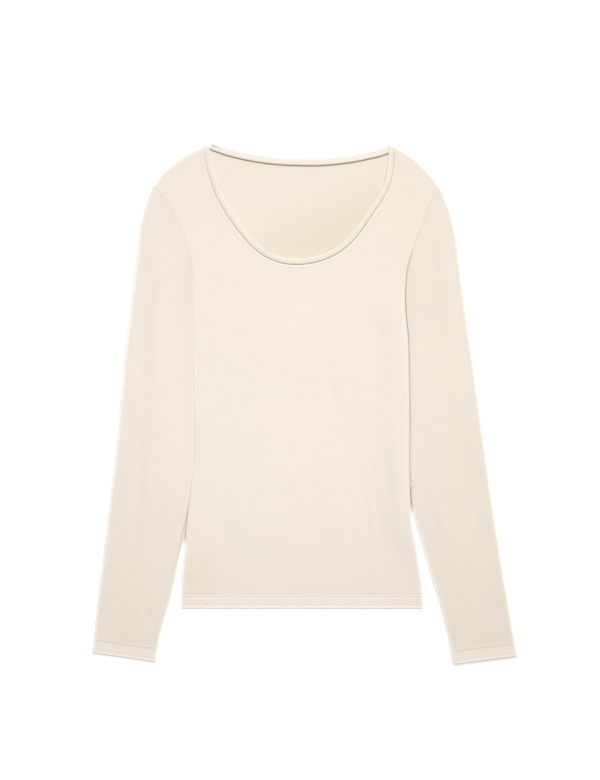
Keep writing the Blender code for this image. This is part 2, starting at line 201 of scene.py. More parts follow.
Round = namedtuple("Round", "width depth")  # an edge that rounds down
Ridge = namedtuple("Ridge", "centre width rise")  # a low ridge beside an edge
Seam = namedtuple("Seam", "width strength")  # painted shade beside an edge
Band = namedtuple("Band", "strength centre width")  # a band of painted highlight or painted shade along an edge
Swell = namedtuple("Swell", "x y half_width half_length turn rise")
Crease = namedtuple("Crease", "x y length width turn bow rise")

# How the edges round. A panel's depths are shares of the wall, a sleeve's are in millimetres.
PANEL_ROUNDS = {
    "side_left": Round((4.0, 4.0), (0.28, 0.78)),
    "side_right": Round((2.1, 2.1), (0.95, 0.95)),
    "arm_left": Round((0.8, 0.8), (0.16, 0.16)),
    "arm_right": Round((1.3, 1.3), (0.2, 1.0)),
    "shoulder": Round((3.2, 3.2), (1.0, 1.0)),
}
NECK_ROUNDS = {"front": Round((1.0, 1.0), (0.1, 0.46)), "back": Round((1.0, 1.0), (0.45, 0.45))}
SLEEVE_ROUNDS = {"left": Round((0.9, 0.9), (0.22, 0.22)), "right": Round((1.0, 3.6), (0.22, 0.92))}
FOLD_ROUND = 3.0  # width over which a sleeve comes down to its folded edges
ARM_RIDGE = Ridge(2.2, 2.0, (0.05, 0.3))
NECK_RIDGE = Ridge(1.9, 1.8, (0.08, 0.48))
SLEEVE_RIDGES = {"left": Ridge(2.4, 2.0, (0.24, 0.24)), "right": Ridge(2.6, 2.2, (0.14, 0.0))}

# How the edges look: painted shade beside them, in the seam colour, and painted highlights along
# them.
SEAM_SHARE = 0.87  # of the seam colour that the painted shade shows at full strength
FRONT_SEAMS = {
    "side_left": Seam(1.3, (0.04, 0.34)),
    "side_right": Seam(0.9, (0.4, 0.4)),
    "arm_left": Seam(1.2, (0.05, 0.05)),
    "arm_right": Seam(0.8, (0.06, 0.36)),
    "neck": Seam(0.9, (0.04, 0.64)),
    # painted shade along the hem's lower edge, which faces away from the light
    "hem": Seam(0.6, (0.4, 0.4)),
}
BACK_NECK_SEAM = Seam(1.05, (1.15, 1.15))
# Painted shade on a sleeve beside the body; on the right it is the painted shadow of the body's
# edge that lies over it.
BODY_SEAMS = {"left": Seam(1.2, (0.04, 0.36)), "right": Seam(1.4, (0.42, 0.82))}
ARM_SEAMS = {"left": Seam(1.1, (0.05, 0.05)), "right": Seam(1.1, (0.08, 0.38))}
# Painted shade along a cuff's lower edge.
CUFF_EDGE_SHADE = Seam(0.6, (0.4, 0.4))
OWN_SEAM = Seam(0.8, (0.42, 0.42))
OWN_SEAM_RAMP = 40.0
RIM_WIDTH = 2.6  # of the painted highlight along the outline
# Bands of painted highlight: along a turned-up edge, on the front beside the neck's seam, and on
# the right side's edge that lies on the sleeve.
TURNED_RIM = Band(0.6, 2.0, 1.6)
NECK_RIM = Band(0.45, 1.9, 1.0)
CLOSE_RIM = Band(0.32, 0.0, 1.2)  # painted highlight on both edges where the left sleeve lies close beside the body
CLOSE_ABOVE = 150.0
ON_SLEEVE_RIM = Band(0.12, 2.8, RIM_WIDTH)
DOUBLED = 0.13  # how much paler a cuff is where it is turned up
CORNER_SHADES = (  # painted shade in the front's lower corners: x, y, size and strength
    (-146.0, 38.0, 34.0, 0.6),
    (-154.0, 12.0, 9.0, 0.6),
    (142.0, 34.0, 30.0, 0.1),
    (150.0, 10.0, 9.0, 0.4),
)
# Painted shade on the inside of the back, low in the scoop: the height below which it grows, over
# what height, and how much higher it reaches towards the right.
INSIDE_SHADE_BELOW = 545.0
INSIDE_SHADE_RAMP = 75.0
INSIDE_SHADE_SLOPE = 0.35
# Painted shade on the sleeves, darker and warmer towards the cuffs: strength on each side, the
# height below which it grows, and over what height.
SLEEVE_SHADES = {"left": 0.2, "right": 0.06}
SLEEVE_SHADE_BELOW = 260.0
SLEEVE_SHADE_RAMP = 320.0
BINDING_SEAMS = ((0.9, 0.06), (1.2, 1.15))  # painted shade beside the binding's seam: width and strength, in front and behind
SCOOP_SEAM = 0.25  # how much stronger it is low in the scoop, and twice that on the right
SCOOP_SEAM_RAMP = 100.0
BACK_SHADOWS = {"left": 0.8, "right": 0.1}  # on the back of the binding, by the shoulders
BACK_SHADOW = Band(1.0, 5.8, 0.8)
BACK_SHADOW_LENGTH = 9.0
BACK_RIM = 0.25  # least paleness of the back of the binding
# painted highlight at the shoulders' folds
FOLD_RIM = 0.8
FREE_RIM = (0.04, 0.14, 0.5)  # painted highlight on the front's free edge: everywhere, to the right, and high there
FREE_RIM_NARROWER = 1.5
FREE_RIM_RAMP = 120.0

SIDE_LEFT = (
    (-157.8, 0.0), (-157.2, 30.0), (-155.0, 56.0), (-152.3, 84.0), (-149.3, 117.0),
    (-144.3, 155.0), (-139.6, 192.0), (-139.2, 235.0), (-140.4, 290.0), (-140.8, 345.0),
    (-140.8, 395.0), (-140.7, 427.0),
)
SIDE_RIGHT = (
    (158.8, 0.0), (157.1, 28.0), (153.2, 55.0), (149.2, 82.0), (144.5, 107.0), (141.1, 145.0),
    (140.0, 195.0), (140.2, 245.0), (139.7, 292.0), (138.4, 345.0), (135.0, 385.0),
    (134.3, 412.0),
)
ARMHOLE_LEFT = (
    (-140.7, 427.0), (-144.3, 455.0), (-151.5, 480.0), (-161.5, 505.0), (-175.0, 528.4),
    (-193.4, 549.2),
)
ARMHOLE_RIGHT = (
    (134.3, 412.0), (137.4, 442.0), (145.0, 468.5), (154.6, 494.0), (165.2, 523.0),
    (180.3, 547.2),
)
SHOULDER_LEFT = (
    (-128.4, 600.2), (-139.8, 595.7), (-151.0, 589.4), (-165.5, 579.5), (-180.4, 566.6),
    (-193.4, 549.2),
)
SHOULDER_RIGHT = (
    (121.2, 600.2), (131.2, 595.0), (146.0, 585.0), (158.6, 573.4), (170.4, 561.0),
    (180.3, 547.2),
)
NECK_FRONT = (
    (-128.4, 600.2), (-125.8, 584.0), (-120.4, 560.8), (-110.4, 534.4), (-96.8, 510.4),
    (-80.4, 487.6), (-63.4, 468.7), (-46.8, 456.7), (-26.6, 448.8), (-4.4, 446.7),
    (18.0, 449.8), (40.4, 458.0), (60.6, 471.8), (76.8, 490.2), (91.2, 511.4), (104.8, 531.2),
    (114.2, 550.8), (118.8, 572.0), (121.2, 600.2),
)
NECK_BACK = (
    (-128.4, 600.2), (-124.6, 597.8), (-118.2, 595.9), (-98.4, 588.9), (-68.8, 581.7),
    (-36.0, 577.0), (-5.0, 575.4), (26.0, 575.4), (60.0, 578.8), (90.4, 584.6), (111.0, 590.4),
    (117.6, 594.6), (121.2, 600.2),
)
SLEEVE_LEFT_OUTER = (
    (-272.1, -57.8), (-266.7, -2.9), (-259.6, 55.0), (-250.6, 133.0), (-240.9, 215.0),
    (-233.8, 290.0), (-226.7, 360.0), (-218.8, 425.0), (-212.0, 484.0), (-205.9, 517.0),
    (-194.2, 549.6),
)
SLEEVE_LEFT_INNER = (
    (-189.2, -69.8), (-183.8, -40.0), (-176.4, -11.0), (-168.4, 16.0), (-160.0, 53.0),
    (-154.6, 80.0), (-151.6, 94.0),
)
SLEEVE_RIGHT_OUTER = (
    (280.4, -62.2), (270.5, -2.9), (260.8, 55.0), (248.6, 134.0), (237.6, 214.0),
    (227.4, 290.0), (217.3, 360.0), (208.6, 425.0), (200.8, 484.0), (193.3, 517.0),
    (180.9, 547.6),
)
SLEEVE_RIGHT_INNER = (
    (195.7, -72.9), (187.6, -30.0), (179.2, 3.0), (167.8, 40.0), (155.8, 81.0), (146.4, 114.0),
    (142.0, 136.0),
)
# The left sleeve's own seam, which shows beside its edge above and below the top of the slit.
SLEEVE_LEFT_SEAM = (
    (-168.6, 40.0), (-161.6, 65.4), (-158.3, 78.4), (-155.7, 92.7), (-153.1, 105.7),
    (-150.6, 116.0), (-148.6, 123.9),
)

# Where the front lies clear of the back, and how far.
BODY_SWELLS = (
    Swell(-40.0, 345.0, 90.0, 95.0, -8.0, 1.3),
    Swell(55.0, 330.0, 65.0, 100.0, 6.0, 0.9),
    Swell(-25.0, 165.0, 95.0, 130.0, 4.0, 1.1),
    Swell(-70.0, 120.0, 55.0, 90.0, -10.0, 0.6),
    Swell(112.0, 190.0, 24.0, 130.0, 2.0, 0.9),
)
SLEEVE_SWELL = 0.9
LOWEST_SWELL = -0.1
RELIEF_INSET = 8.0  # how far from a sleeve's folded edges its creases are whole
RIDGE_INSET = 4.0  # and its cuff's ridges are
SWELL_INSET = 14.0  # how far from the armhole its swell is whole
BESIDE_RAMP = 9.0  # how far beside the body the right sleeve stands higher, and below the armhole
BESIDE_ARM_RAMP = 60.0
ON_TOP_SWELL = 0.8  # how much further the right sleeve stands beside the body that lies on it
RIPPLES = (  # rise, and two waves, each with its pace along x and y and its start
    (0.14, (31, 17, 0.4), (-9, 23, 1.1)),
    (0.07, (67, -29, 2.0), (21, 53, 0.3)),
)

# Soft troughs (rise below 0) and ridges. turn is in degrees from upright, anticlockwise.
FRONT_CREASES = (
    Crease(50.0, 246.0, 170.0, 24.0, 15.0, 0.2, -0.8),
    Crease(76.0, 150.0, 150.0, 22.0, 14.0, -0.2, -0.8),
    Crease(100.0, 64.0, 96.0, 18.0, 24.0, 0.3, -0.8),
    Crease(112.0, 165.0, 190.0, 22.0, 3.0, 0.1, -0.8),
    Crease(92.0, 108.0, 130.0, 18.0, 6.0, 0.0, 0.7),
    Crease(113.0, 328.0, 170.0, 34.0, 2.0, 0.1, 0.4),
    Crease(-112.0, 410.0, 70.0, 50.0, 90.0, 0.0, -0.8),
    Crease(-112.0, 352.0, 110.0, 44.0, 0.0, 0.1, 0.7),
    Crease(-131.0, 394.0, 70.0, 16.0, -6.0, 0.2, -0.4),
    Crease(-142.0, 46.0, 76.0, 30.0, -24.0, 0.2, -0.7),
    Crease(-116.0, 88.0, 90.0, 30.0, -12.0, 0.1, 0.6),
    Crease(134.0, 58.0, 80.0, 26.0, 22.0, -0.2, -0.6),
    Crease(-129.0, 330.0, 130.0, 18.0, 2.0, -0.1, 0.3),
    Crease(-4.0, 424.0, 90.0, 36.0, 90.0, 0.3, 0.35),
    Crease(-122.0, 8.6, 17.0, 7.0, 38.0, 0.1, 0.8),
    Crease(-116.0, 8.6, 16.0, 7.0, 34.0, 0.0, -0.6),
    Crease(-152.0, 9.0, 15.0, 9.0, -24.0, 0.2, -0.5),
    Crease(60.0, 9.0, 15.0, 7.0, 30.0, 0.0, -0.2),
    Crease(146.0, 9.0, 16.0, 9.0, 20.0, -0.2, -0.4),
)
BACK_CREASES = (
    Crease(72.0, 566.0, 42.0, 9.0, -52.0, 0.2, 0.4),
    Crease(60.0, 552.0, 30.0, 8.0, -50.0, 0.2, 0.3),
)
SLEEVE_CREASES = {
    "left": (
        Crease(-209.0, 372.0, 330.0, 22.0, 1.0, 0.1, -0.7),
        Crease(-188.0, 366.0, 320.0, 24.0, -2.0, 0.1, 0.6),
        Crease(-164.0, 390.0, 130.0, 24.0, 0.0, -0.2, -0.5),
        Crease(-214.0, 140.0, 260.0, 24.0, -4.0, -0.2, -0.7),
        Crease(-176.0, 128.0, 110.0, 18.0, -18.0, 0.2, 0.5),
        Crease(-159.0, 111.0, 26.0, 12.0, -30.0, 0.0, -0.4),
        Crease(-260.0, -20.0, 50.0, 26.0, -20.0, 0.2, -0.6),
        Crease(-196.0, -14.0, 60.0, 14.0, 28.0, 0.2, -0.5),
        Crease(-220.5, -54.5, 16.0, 7.0, 42.0, 0.1, 0.35),
    ),
    "right": (
        Crease(167.0, 466.0, 120.0, 26.0, 10.0, 0.2, -0.9),
        Crease(190.0, 420.0, 150.0, 30.0, 6.0, -0.1, 0.5),
        Crease(196.0, 320.0, 240.0, 26.0, 6.0, 0.1, 0.6),
        Crease(220.0, 150.0, 230.0, 26.0, 8.0, 0.2, -0.7),
        Crease(180.0, 120.0, 110.0, 20.0, 18.0, 0.2, 0.6),
        Crease(250.0, 0.0, 56.0, 24.0, 12.0, -0.2, -0.6),
        Crease(212.0, -30.0, 56.0, 14.0, -24.0, 0.2, -0.4),
    ),
}


# ------------------------------------------------------------ the user's sizes and colours
def length(name, description, millimetres):
    """A length that the user sets."""
    size = millimetres * MM
    return FloatProperty(
        name=name, description=description, default=size, min=0.0, precision=5, unit="LENGTH"
    )


def colour(name, description, default):
    """A colour that the user sets."""
    return FloatVectorProperty(
        name=name, description=description, default=default, min=0.0, max=1.0, subtype="COLOR"
    )


def power(name, description, watts):
    """A light's power that the user sets."""
    return FloatProperty(name=name, description=description, default=watts, min=0.0, unit="POWER")


class TopSewing(bpy.types.PropertyGroup):
    """Sizes of the sewn edges."""

    hem_upper: length("Upper hem row", "Height of the hem's upper stitches above the edge", 18.6)
    hem_lower: length("Lower hem row", "Height of the hem's lower stitches above the edge", 14.7)
    cuff_upper: length("Upper cuff row", "Height of a cuff's upper stitches above the edge", 15.8)
    cuff_lower: length("Lower cuff row", "Height of a cuff's lower stitches above the edge", 12.9)
    binding_front: length("Front binding", "Width of the binding at the bottom of the scoop", 8.0)
    binding_back: length("Back binding", "Width of the neck binding along the back", 10.7)
    binding_wall: length("Binding height", "How thick the rolled binding is", 2.0)
    stitch_pitch: length("Stitch pitch", "Distance from one stitch to the next", 2.6)
    stitch_length: length("Stitch length", "Length of a stitch that shows", 2.2)
    thread: length("Thread", "Width of the thread", 0.5)


class TopCloth(bpy.types.PropertyGroup):
    """Knit and colours of the cloth."""

    wale: length("Wale", "Width of one column of knit stitches", 0.95)
    course: length("Course", "Height of one row of knit stitches", 0.72)
    knit_depth: length("Knit depth", "Depth of the knit's relief", 0.1)
    jersey: colour("Jersey", "Colour of the cloth's face, in front", (0.775, 0.708, 0.624))
    # Painted shade: the same jersey as the front, a little darker.
    sleeves: colour("Sleeves", "Colour of the cloth's face, on the sleeves", (0.763, 0.694, 0.609))
    inside: colour("Inside", "Colour of the cloth's inside, at the neck", (0.766, 0.705, 0.624))
    # Painted shade: the darker, warmer colour that shaded parts of the cloth are turned towards.
    painted_shade_colour: colour("Inside, low", "Colour of the inside, by the scoop", (0.742, 0.653, 0.541))
    binding: colour("Binding", "Colour of the neck binding", (0.768, 0.706, 0.62))
    # Painted highlight: the colour of the painted highlights along the edges.
    edge: colour("Edge", "Colour of the outline, where light comes through", (0.98, 0.94, 0.88))
    # Painted shade: the colour that seams, grooves and lower edges are darkened towards, where
    # shade falls.
    seam: colour("Seam", "Colour deep in a seam", (0.25, 0.125, 0.038))
    thread: colour("Thread", "Colour of the sewing thread", (0.86, 0.79, 0.69))


class TopStage(bpy.types.PropertyGroup):
    """Floor, lights and camera."""

    floor: colour("Floor", "Colour of the floor", (0.96, 0.96, 0.96))
    field: length("Field", "Length of floor that the camera sees from top to bottom", 1014.0)
    focal: FloatProperty(
        name="Lens", description="Focal length, in millimetres", default=100.0, min=20.0
    )
    overhead: power("Overhead", "Power of the overhead light", 7.1)
    slanting: power("Slanting", "Power of the slanting light", 168.0)
    surround: FloatProperty(
        name="Surround", description="Strength of the light from all round", default=0.37, min=0.0
    )
    glow: FloatProperty(
        name="Glow", description="How much light the floor gives off", default=0.25, min=0.0
    )


class ThermalTop(bpy.types.PropertyGroup):
    """All that the user sets."""

    sewing: PointerProperty(type=TopSewing)
    cloth: PointerProperty(type=TopCloth)
    stage: PointerProperty(type=TopStage)


# ------------------------------------------------------------ plan curves
def smooth_step(value):
    """0 below 0, 1 above 1, and a smooth rise between."""
    value = np.clip(value, 0, 1)
    return value * value * (3 - 2 * value)


def mix(first, second, share):
    """What lies at a share of the way between two values."""
    return first + (second - first) * share


def bell(value):
    """1 at 0, falling softly to 0 on both sides."""
    return np.exp(-(value**2))


def smooth_path(table, steps=20):
    """Close points along a Catmull-Rom curve through a table's rows."""
    knots = np.array(table, float)
    knots = np.vstack((2 * knots[0] - knots[1], knots, 2 * knots[-1] - knots[-2]))
    t = np.linspace(0, 1, steps, endpoint=False)[:, None]
    spans = []
    for before, start, end, after in zip(knots, knots[1:], knots[2:], knots[3:]):
        bend = (2 * before - 5 * start + 4 * end - after) * t**2
        twist = (3 * start - before - 3 * end + after) * t**3
        spans.append(0.5 * (2 * start + (end - before) * t + bend + twist))
    return np.vstack((*spans, knots[-2]))


def reach(path):
    """How far along a path each of its points is."""
    return np.concatenate(([0.0], np.cumsum(np.linalg.norm(np.diff(path, axis=0), axis=1))))


def walk(path, distances):
    """The points at some distances along a path."""
    along = reach(path)
    return np.stack([np.interp(distances, along, path[:, axis]) for axis in (0, 1)], axis=1)


def at_height(path, heights):
    """The x of a rising path at some heights."""
    return np.interp(heights, path[:, 1], path[:, 0])


def normals(path):
    """The unit normals on the left-hand side of a path."""
    ways = np.gradient(path, axis=0)
    ways /= np.linalg.norm(ways, axis=1)[:, None]
    return np.stack((-ways[:, 1], ways[:, 0]), axis=1)


def distance_from(path, plan):
    """Each plan point's distance from a path."""
    trace = walk(path, np.arange(0, reach(path)[-1] + TRACE, TRACE))
    tree = KDTree(len(trace))
    for index, (x, y) in enumerate(trace):
        tree.insert((x, y, 0), index)
    tree.balance()
    return np.array([tree.find((x, y, 0))[2] for x, y in plan])


def patch(near, far, start, end, across, along, bend=1.0):
    """Rows of points between four edges, as a Coons patch.

    near and far have a point for each fraction in across, start and end one for each in along.
    With a bend above 1 the near edge's curve reaches further than the far edge's.
    """
    u = across[None, :, None]
    share = along[:, None, None] ** bend
    low = near - (near[0] + (near[-1] - near[0]) * across[:, None])
    high = far - (far[0] + (far[-1] - far[0]) * across[:, None])
    return start[:, None] * (1 - u) + end[:, None] * u + low * (1 - share) + high * share


def even_ends(size, step):
    """Distances over a length: close together at both ends and about a step apart between."""
    parts = round((size - 2 * EDGE_STEPS[-1]) / step)
    middle = np.linspace(EDGE_STEPS[-1], size - EDGE_STEPS[-1], parts + 1)
    return np.concatenate((EDGE_STEPS[:-1], middle, (size - EDGE_STEPS[:-1])[::-1]))


def spread(size, parts):
    """Distances over a length in a number of parts: close together at first and even after that."""
    even = np.linspace(EDGE_STEPS[-1], size, parts - len(EDGE_STEPS) + 2)
    return np.concatenate((EDGE_STEPS[:-1], even))


# ------------------------------------------------------------ the outline
SIDES = {"left": smooth_path(SIDE_LEFT), "right": smooth_path(SIDE_RIGHT)}
ARMHOLES = {"left": smooth_path(ARMHOLE_LEFT), "right": smooth_path(ARMHOLE_RIGHT)}
SHOULDERS = {"left": smooth_path(SHOULDER_LEFT), "right": smooth_path(SHOULDER_RIGHT)}
NECKS = {"front": smooth_path(NECK_FRONT), "back": smooth_path(NECK_BACK)}
SLEEVE_INNERS = {"left": smooth_path(SLEEVE_LEFT_INNER), "right": smooth_path(SLEEVE_RIGHT_INNER)}
SLEEVE_OUTERS = {"left": smooth_path(SLEEVE_LEFT_OUTER), "right": smooth_path(SLEEVE_RIGHT_OUTER)}
UNDERARM = SIDE_LEFT[-1][1]


def row_heights(stitch_rows):
    """Heights of the body's rows up to the underarm: close at the hem's edge and the stitches."""
    close = np.concatenate([row + GROOVE_STEPS for row in stitch_rows])
    low = np.unique(np.concatenate((EDGE_STEPS, np.arange(7.0, close.min(), 2.4), close)))
    top = close.max() + 2
    return np.concatenate((low, np.linspace(top, UNDERARM, round((UNDERARM - top) / CELL) + 1)))


def side_points(side, heights):
    """The side seam's points, one for each row. The rows are level near the hem."""
    path = SIDES[side]
    sign = 1 if side == "right" else -1
    rise = smooth_step((heights - LEVEL_ROWS) / (UNDERARM - LEVEL_ROWS))
    own = heights + (path[-1, 1] - UNDERARM) * rise
    return np.stack((at_height(path, own) - sign * fall(heights, CORNER, CORNER_IN), own), axis=1)


def body_plan(stitch_rows):
    """The plan of a panel's body, from the hem to the line between the underarms."""
    heights = row_heights(stitch_rows)
    left = side_points("left", heights)
    right = side_points("right", heights)
    width = right[-1, 0] - left[-1, 0]
    columns = even_ends(width, CELL) / width
    hem = left[0] + (right[0] - left[0]) * columns[:, None]
    chest = left[-1] + (right[-1] - left[-1]) * columns[:, None]
    chest[:, 1] -= CHEST_DIP * np.sin(np.pi * columns)
    return patch(hem, chest, left, right, columns, heights / UNDERARM, bend=3.0)


def yoke_plan(chest, neck, neck_share):
    """The plan of a panel's yoke, from the neckline to the armholes and the chest line."""
    arm_parts = round(reach(ARMHOLES["left"])[-1] / CELL) + len(EDGE_STEPS)
    arms = {}
    for side, path in ARMHOLES.items():
        size = reach(path)[-1]
        arms[side] = walk(path, size - spread(size, arm_parts))
    outer = np.vstack((arms["left"], chest[1:-1], arms["right"][::-1]))

    size = reach(neck)[-1]
    ends = spread(size * neck_share, arm_parts)
    middle = np.linspace(size * neck_share, size * (1 - neck_share), len(chest))
    inner = walk(neck, np.concatenate((ends, middle[1:-1], (size - ends)[::-1])))

    around = (reach(inner) / reach(inner)[-1] + reach(outer) / reach(outer)[-1]) / 2
    shoulders = {}
    for side, path in SHOULDERS.items():
        size = reach(path)[-1]
        steps = even_ends(reach(SHOULDERS["left"])[-1], CELL)
        shoulders[side] = walk(path, steps * size / steps[-1])
    return patch(inner, outer, shoulders["left"], shoulders["right"], around, steps / steps[-1])


# ------------------------------------------------------------ heights
def fall(distance, width, depth):
    """How far a surface has come down at a distance from the edge that it rounds towards."""
    inward = np.clip(1 - distance / width, 0, 1)
    return depth * (1 - np.sqrt(1 - inward**2))


def rounding(distance, edge, deep=0.0):
    """How far a Round is down at a distance from its edge. deep is 1 where its seam is deep."""
    return fall(distance, mix(*edge.width, deep), mix(*edge.depth, deep))


def ridge(distance, edge, deep=0.0):
    """How high a Ridge stands at a distance from its edge."""
    away = (distance - edge.centre) / edge.width
    return mix(*edge.rise, deep) * np.clip(1 - away**2, 0, 1) ** 2


def turn_up(distance, upper_row):
    """What the turned-up edge adds to the wall, at a distance from that edge."""
    return TURN_UP * (1 - smooth_step((distance - TURN_UP_FULL) / (upper_row - TURN_UP_FULL)))


def groove(distance, row, depth=GROOVE):
    """How far a row of stitches draws the cloth in, at a distance from the edge."""
    return depth * bell((distance - row) / GROOVE_WIDTH)


def cuff_ridges(distance, rows):
    """How far the top of a cuff stands above its drawn-in rows of stitches."""
    lower, upper = rows
    level = groove(distance, lower, CUFF_DRAWN + CUFF_LOWER_RISE)
    level = level + groove(distance, upper, CUFF_DRAWN)
    return level + groove(distance, upper + CUFF_RIDGE_ABOVE, CUFF_RIDGE)


def hem_wave(x):
    """How far the hem's rows of stitches stray from their height, and drop at its ends."""
    strays = [height * np.sin(x / size + start) for height, size, start in HEM_STRAYS]
    drops = [drop * bell((x - end) / HEM_DROP_WIDTH) for end, drop in HEM_DROPS]
    return sum(strays) - sum(drops)


def hem_grooves(plan, rows):
    """How far the hem's rows of stitches draw the cloth in."""
    distance = plan[:, 1] - hem_wave(plan[:, 0])
    return sum(groove(distance, row) for row in rows)


def swells(plan):
    """How far the front stands clear of the back."""
    total = np.zeros(len(plan))
    for swell in BODY_SWELLS:
        angle = math.radians(swell.turn)
        x, y = (plan - (swell.x, swell.y)).T
        u = (x * math.cos(angle) + y * math.sin(angle)) / swell.half_width
        v = (y * math.cos(angle) - x * math.sin(angle)) / swell.half_length
        total += swell.rise * np.clip(1 - u * u - v * v, 0, 1) ** 2
    return total


def creases(plan, table):
    """The rise of soft troughs and ridges with tapered ends."""
    total = np.zeros(len(plan))
    for crease in table:
        angle = math.radians(crease.turn)
        x, y = (plan - (crease.x, crease.y)).T
        v = (y * math.cos(angle) - x * math.sin(angle)) / (crease.length / 2)
        u = (x * math.cos(angle) + y * math.sin(angle)) / (crease.width / 2) - crease.bow * v * v
        total += crease.rise * np.clip(1 - u * u, 0, 1) ** 2 * np.clip(1 - v * v, 0, 1) ** 2
    return total


def settle(clear):
    """Clearances that fade softly into the lowest one that the layer below allows."""
    above = clear - SETTLED
    return SETTLED + (above + np.sqrt(above**2 + SETTLED**2)) / 2


def ripple(plan):
    """The faint unevenness of cloth laid by hand."""
    x, y = plan.T * MM
    total = 0.0
    for rise, *waves in RIPPLES:
        sines = [np.sin(a * x + b * y + start) for a, b, start in waves]
        total = total + rise * np.prod(sines, axis=0)
    return total


def side_lift(plan, start):
    """How far the sleeve under the right side raises a panel, from the height where that starts."""
    edge = np.vstack((SIDES["right"], ARMHOLES["right"][1:]))
    inward = at_height(edge, plan[:, 1]) - plan[:, 0]
    across = 1 - smooth_step((inward - LIFT_FLAT) / LIFT_RAMP)
    above = smooth_step((start - plan[:, 1]) / (start - LIFT_TOP))
    below = smooth_step((plan[:, 1] - LIFT_END) / (LIFT_FOOT - LIFT_END))
    return LIFT * across * above * below


def panel_distances(plan, neck):
    """Each plan point's distance from the panel's edges."""
    return {
        "side_left": distance_from(SIDES["left"], plan),
        "side_right": distance_from(SIDES["right"], plan),
        "arm_left": distance_from(ARMHOLES["left"], plan),
        "arm_right": distance_from(ARMHOLES["right"], plan),
        "shoulder": np.minimum(*(distance_from(path, plan) for path in SHOULDERS.values())),
        "neck": distance_from(neck, plan),
        "hem": plan[:, 1],
    }


def low_on_armhole(heights):
    """1 by the underarm, where an armhole's seam is deep, and 0 by the shoulder."""
    return smooth_step((SHALLOW_ABOVE - heights) / SHALLOW_RAMP)


def low_on_neck(heights):
    """1 along the bottom of the scoop, where the neck's seam is deep, and 0 at the shoulders."""
    return np.clip((NECK_TOP - heights) / NECK_RAMP, 0, 1)


def below_split(side, heights):
    """1 where the body and a sleeve lie apart, and 0 above."""
    return smooth_step((SPLIT_TOPS[side] - heights) / SPLIT_RAMP)


def near_split(side, heights):
    """1 near the slit between the body and a sleeve, where their seam is deep, and 0 above."""
    return smooth_step((NEAR_SPLIT[side] - heights) / NEAR_RAMP)


def outer_fall(gaps):
    """How far a panel's outer face has come in towards the other panel or a sleeve."""
    heights = gaps["hem"]
    deep = {"side_left": below_split("left", heights), "arm_right": low_on_armhole(heights)}
    falls = [rounding(gaps[edge], look, deep.get(edge, 0.0)) for edge, look in PANEL_ROUNDS.items()]
    return (CLOTH - LIP) * np.maximum.reduce(falls)


def front_heights(plan, gaps, rows):
    """Heights of the front's inner and outer faces."""
    base = side_lift(plan, LIFT_FRONT_START) + FRONT_LOW
    clear = swells(plan) + creases(plan, FRONT_CREASES) + ripple(plan)
    hem_wall = turn_up(gaps["hem"], rows[-1])
    under = base + hem_wall + settle(clear)
    wall = CLOTH + hem_wall
    rim = fall(gaps["hem"], HEM_ROUND, wall / 2 - LIP / 2)
    over = under + wall - hem_grooves(plan, rows) - rim
    over += ridge(gaps["arm_right"], ARM_RIDGE, low_on_armhole(gaps["hem"]))
    low_neck = low_on_neck(gaps["hem"])
    over += ridge(gaps["neck"], NECK_RIDGE, low_neck)
    neck_fall = (CLOTH - LIP) * rounding(gaps["neck"], NECK_ROUNDS["front"], low_neck)
    over -= np.maximum(outer_fall(gaps), neck_fall)
    return under + rim, np.maximum(over, under + rim + LIP)


def back_heights(plan, gaps, rows):
    """Heights of the back's outer face, which lies below, and of its inner face."""
    base = side_lift(plan, LIFT_BACK_START)
    wall = CLOTH + turn_up(gaps["hem"], rows[-1])
    rim = fall(gaps["hem"], HEM_ROUND, wall / 2 - LIP / 2)
    under = base + np.maximum(outer_fall(gaps), rim) + hem_grooves(plan, rows)
    neck_fall = (CLOTH - LIP) * rounding(gaps["neck"], NECK_ROUNDS["back"])
    over = base + wall - np.maximum(rim, neck_fall)
    over += creases(plan, BACK_CREASES)
    return under, np.maximum(over, under + LIP)


# ------------------------------------------------------------ making meshes
def add_sheet(bm, rows):
    """A grid of faces with the given rows of points at its corners."""
    along, across = (count - 1 for count in rows.shape[:2])
    grid = bmesh.ops.create_grid(bm, x_segments=across, y_segments=along, size=1.0)
    for vert in grid["verts"]:
        column = round((vert.co.x + 1) / 2 * across)
        row = round((vert.co.y + 1) / 2 * along)
        vert.co = (*rows[row, column], 0) if rows.shape[2] == 2 else rows[row, column]
    return grid["verts"]


def make_piece(bm, node_name, material, attributes):
    """Make a finished bmesh, in plan millimetres, the piece that stands for a CAD node."""
    for vert in bm.verts:
        vert.co = ((vert.co.x - MIDDLE[0]) * MM, (vert.co.y - MIDDLE[1]) * MM, vert.co.z * MM)
    name = node_name + "_cloth"
    mesh = bpy.data.meshes.new(name)
    bm.to_mesh(mesh)
    bm.free()
    mesh.shade_smooth()
    mesh.materials.append(material)
    for label, (kind, values) in attributes.items():
        field = "vector" if kind == "FLOAT_VECTOR" else "value"
        layer = mesh.attributes.new(name=label, type=kind, domain="POINT")
        layer.data.foreach_set(field, np.asarray(values, np.float32).ravel())
    piece = bpy.data.objects.new(name, mesh)
    bpy.context.scene.collection.objects.link(piece)
    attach(piece, "root")
    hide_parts(node_name)
    return piece


def cut_places(plan):
    """The knit's own coordinates in millimetres: on a panel they are the plan."""
    return np.column_stack((plan, np.zeros(len(plan))))


def seam_shade(distance, seam, deep=0.0):
    """How much painted seam shade shows at a distance from an edge. deep is 1 where it is deep."""
    return np.minimum(SEAM_SHARE * mix(*seam.strength, deep), 1.0) * bell(distance / seam.width)


def in_band(distance, band):
    """How much of a Band shows at a distance from its edge."""
    return band.strength * bell((distance - band.centre) / band.width)


def outline_highlight(distance):
    """Painted highlight beside the garment's outline, standing in for light that comes through its
    edge.
    """
    return bell(distance / RIM_WIDTH)


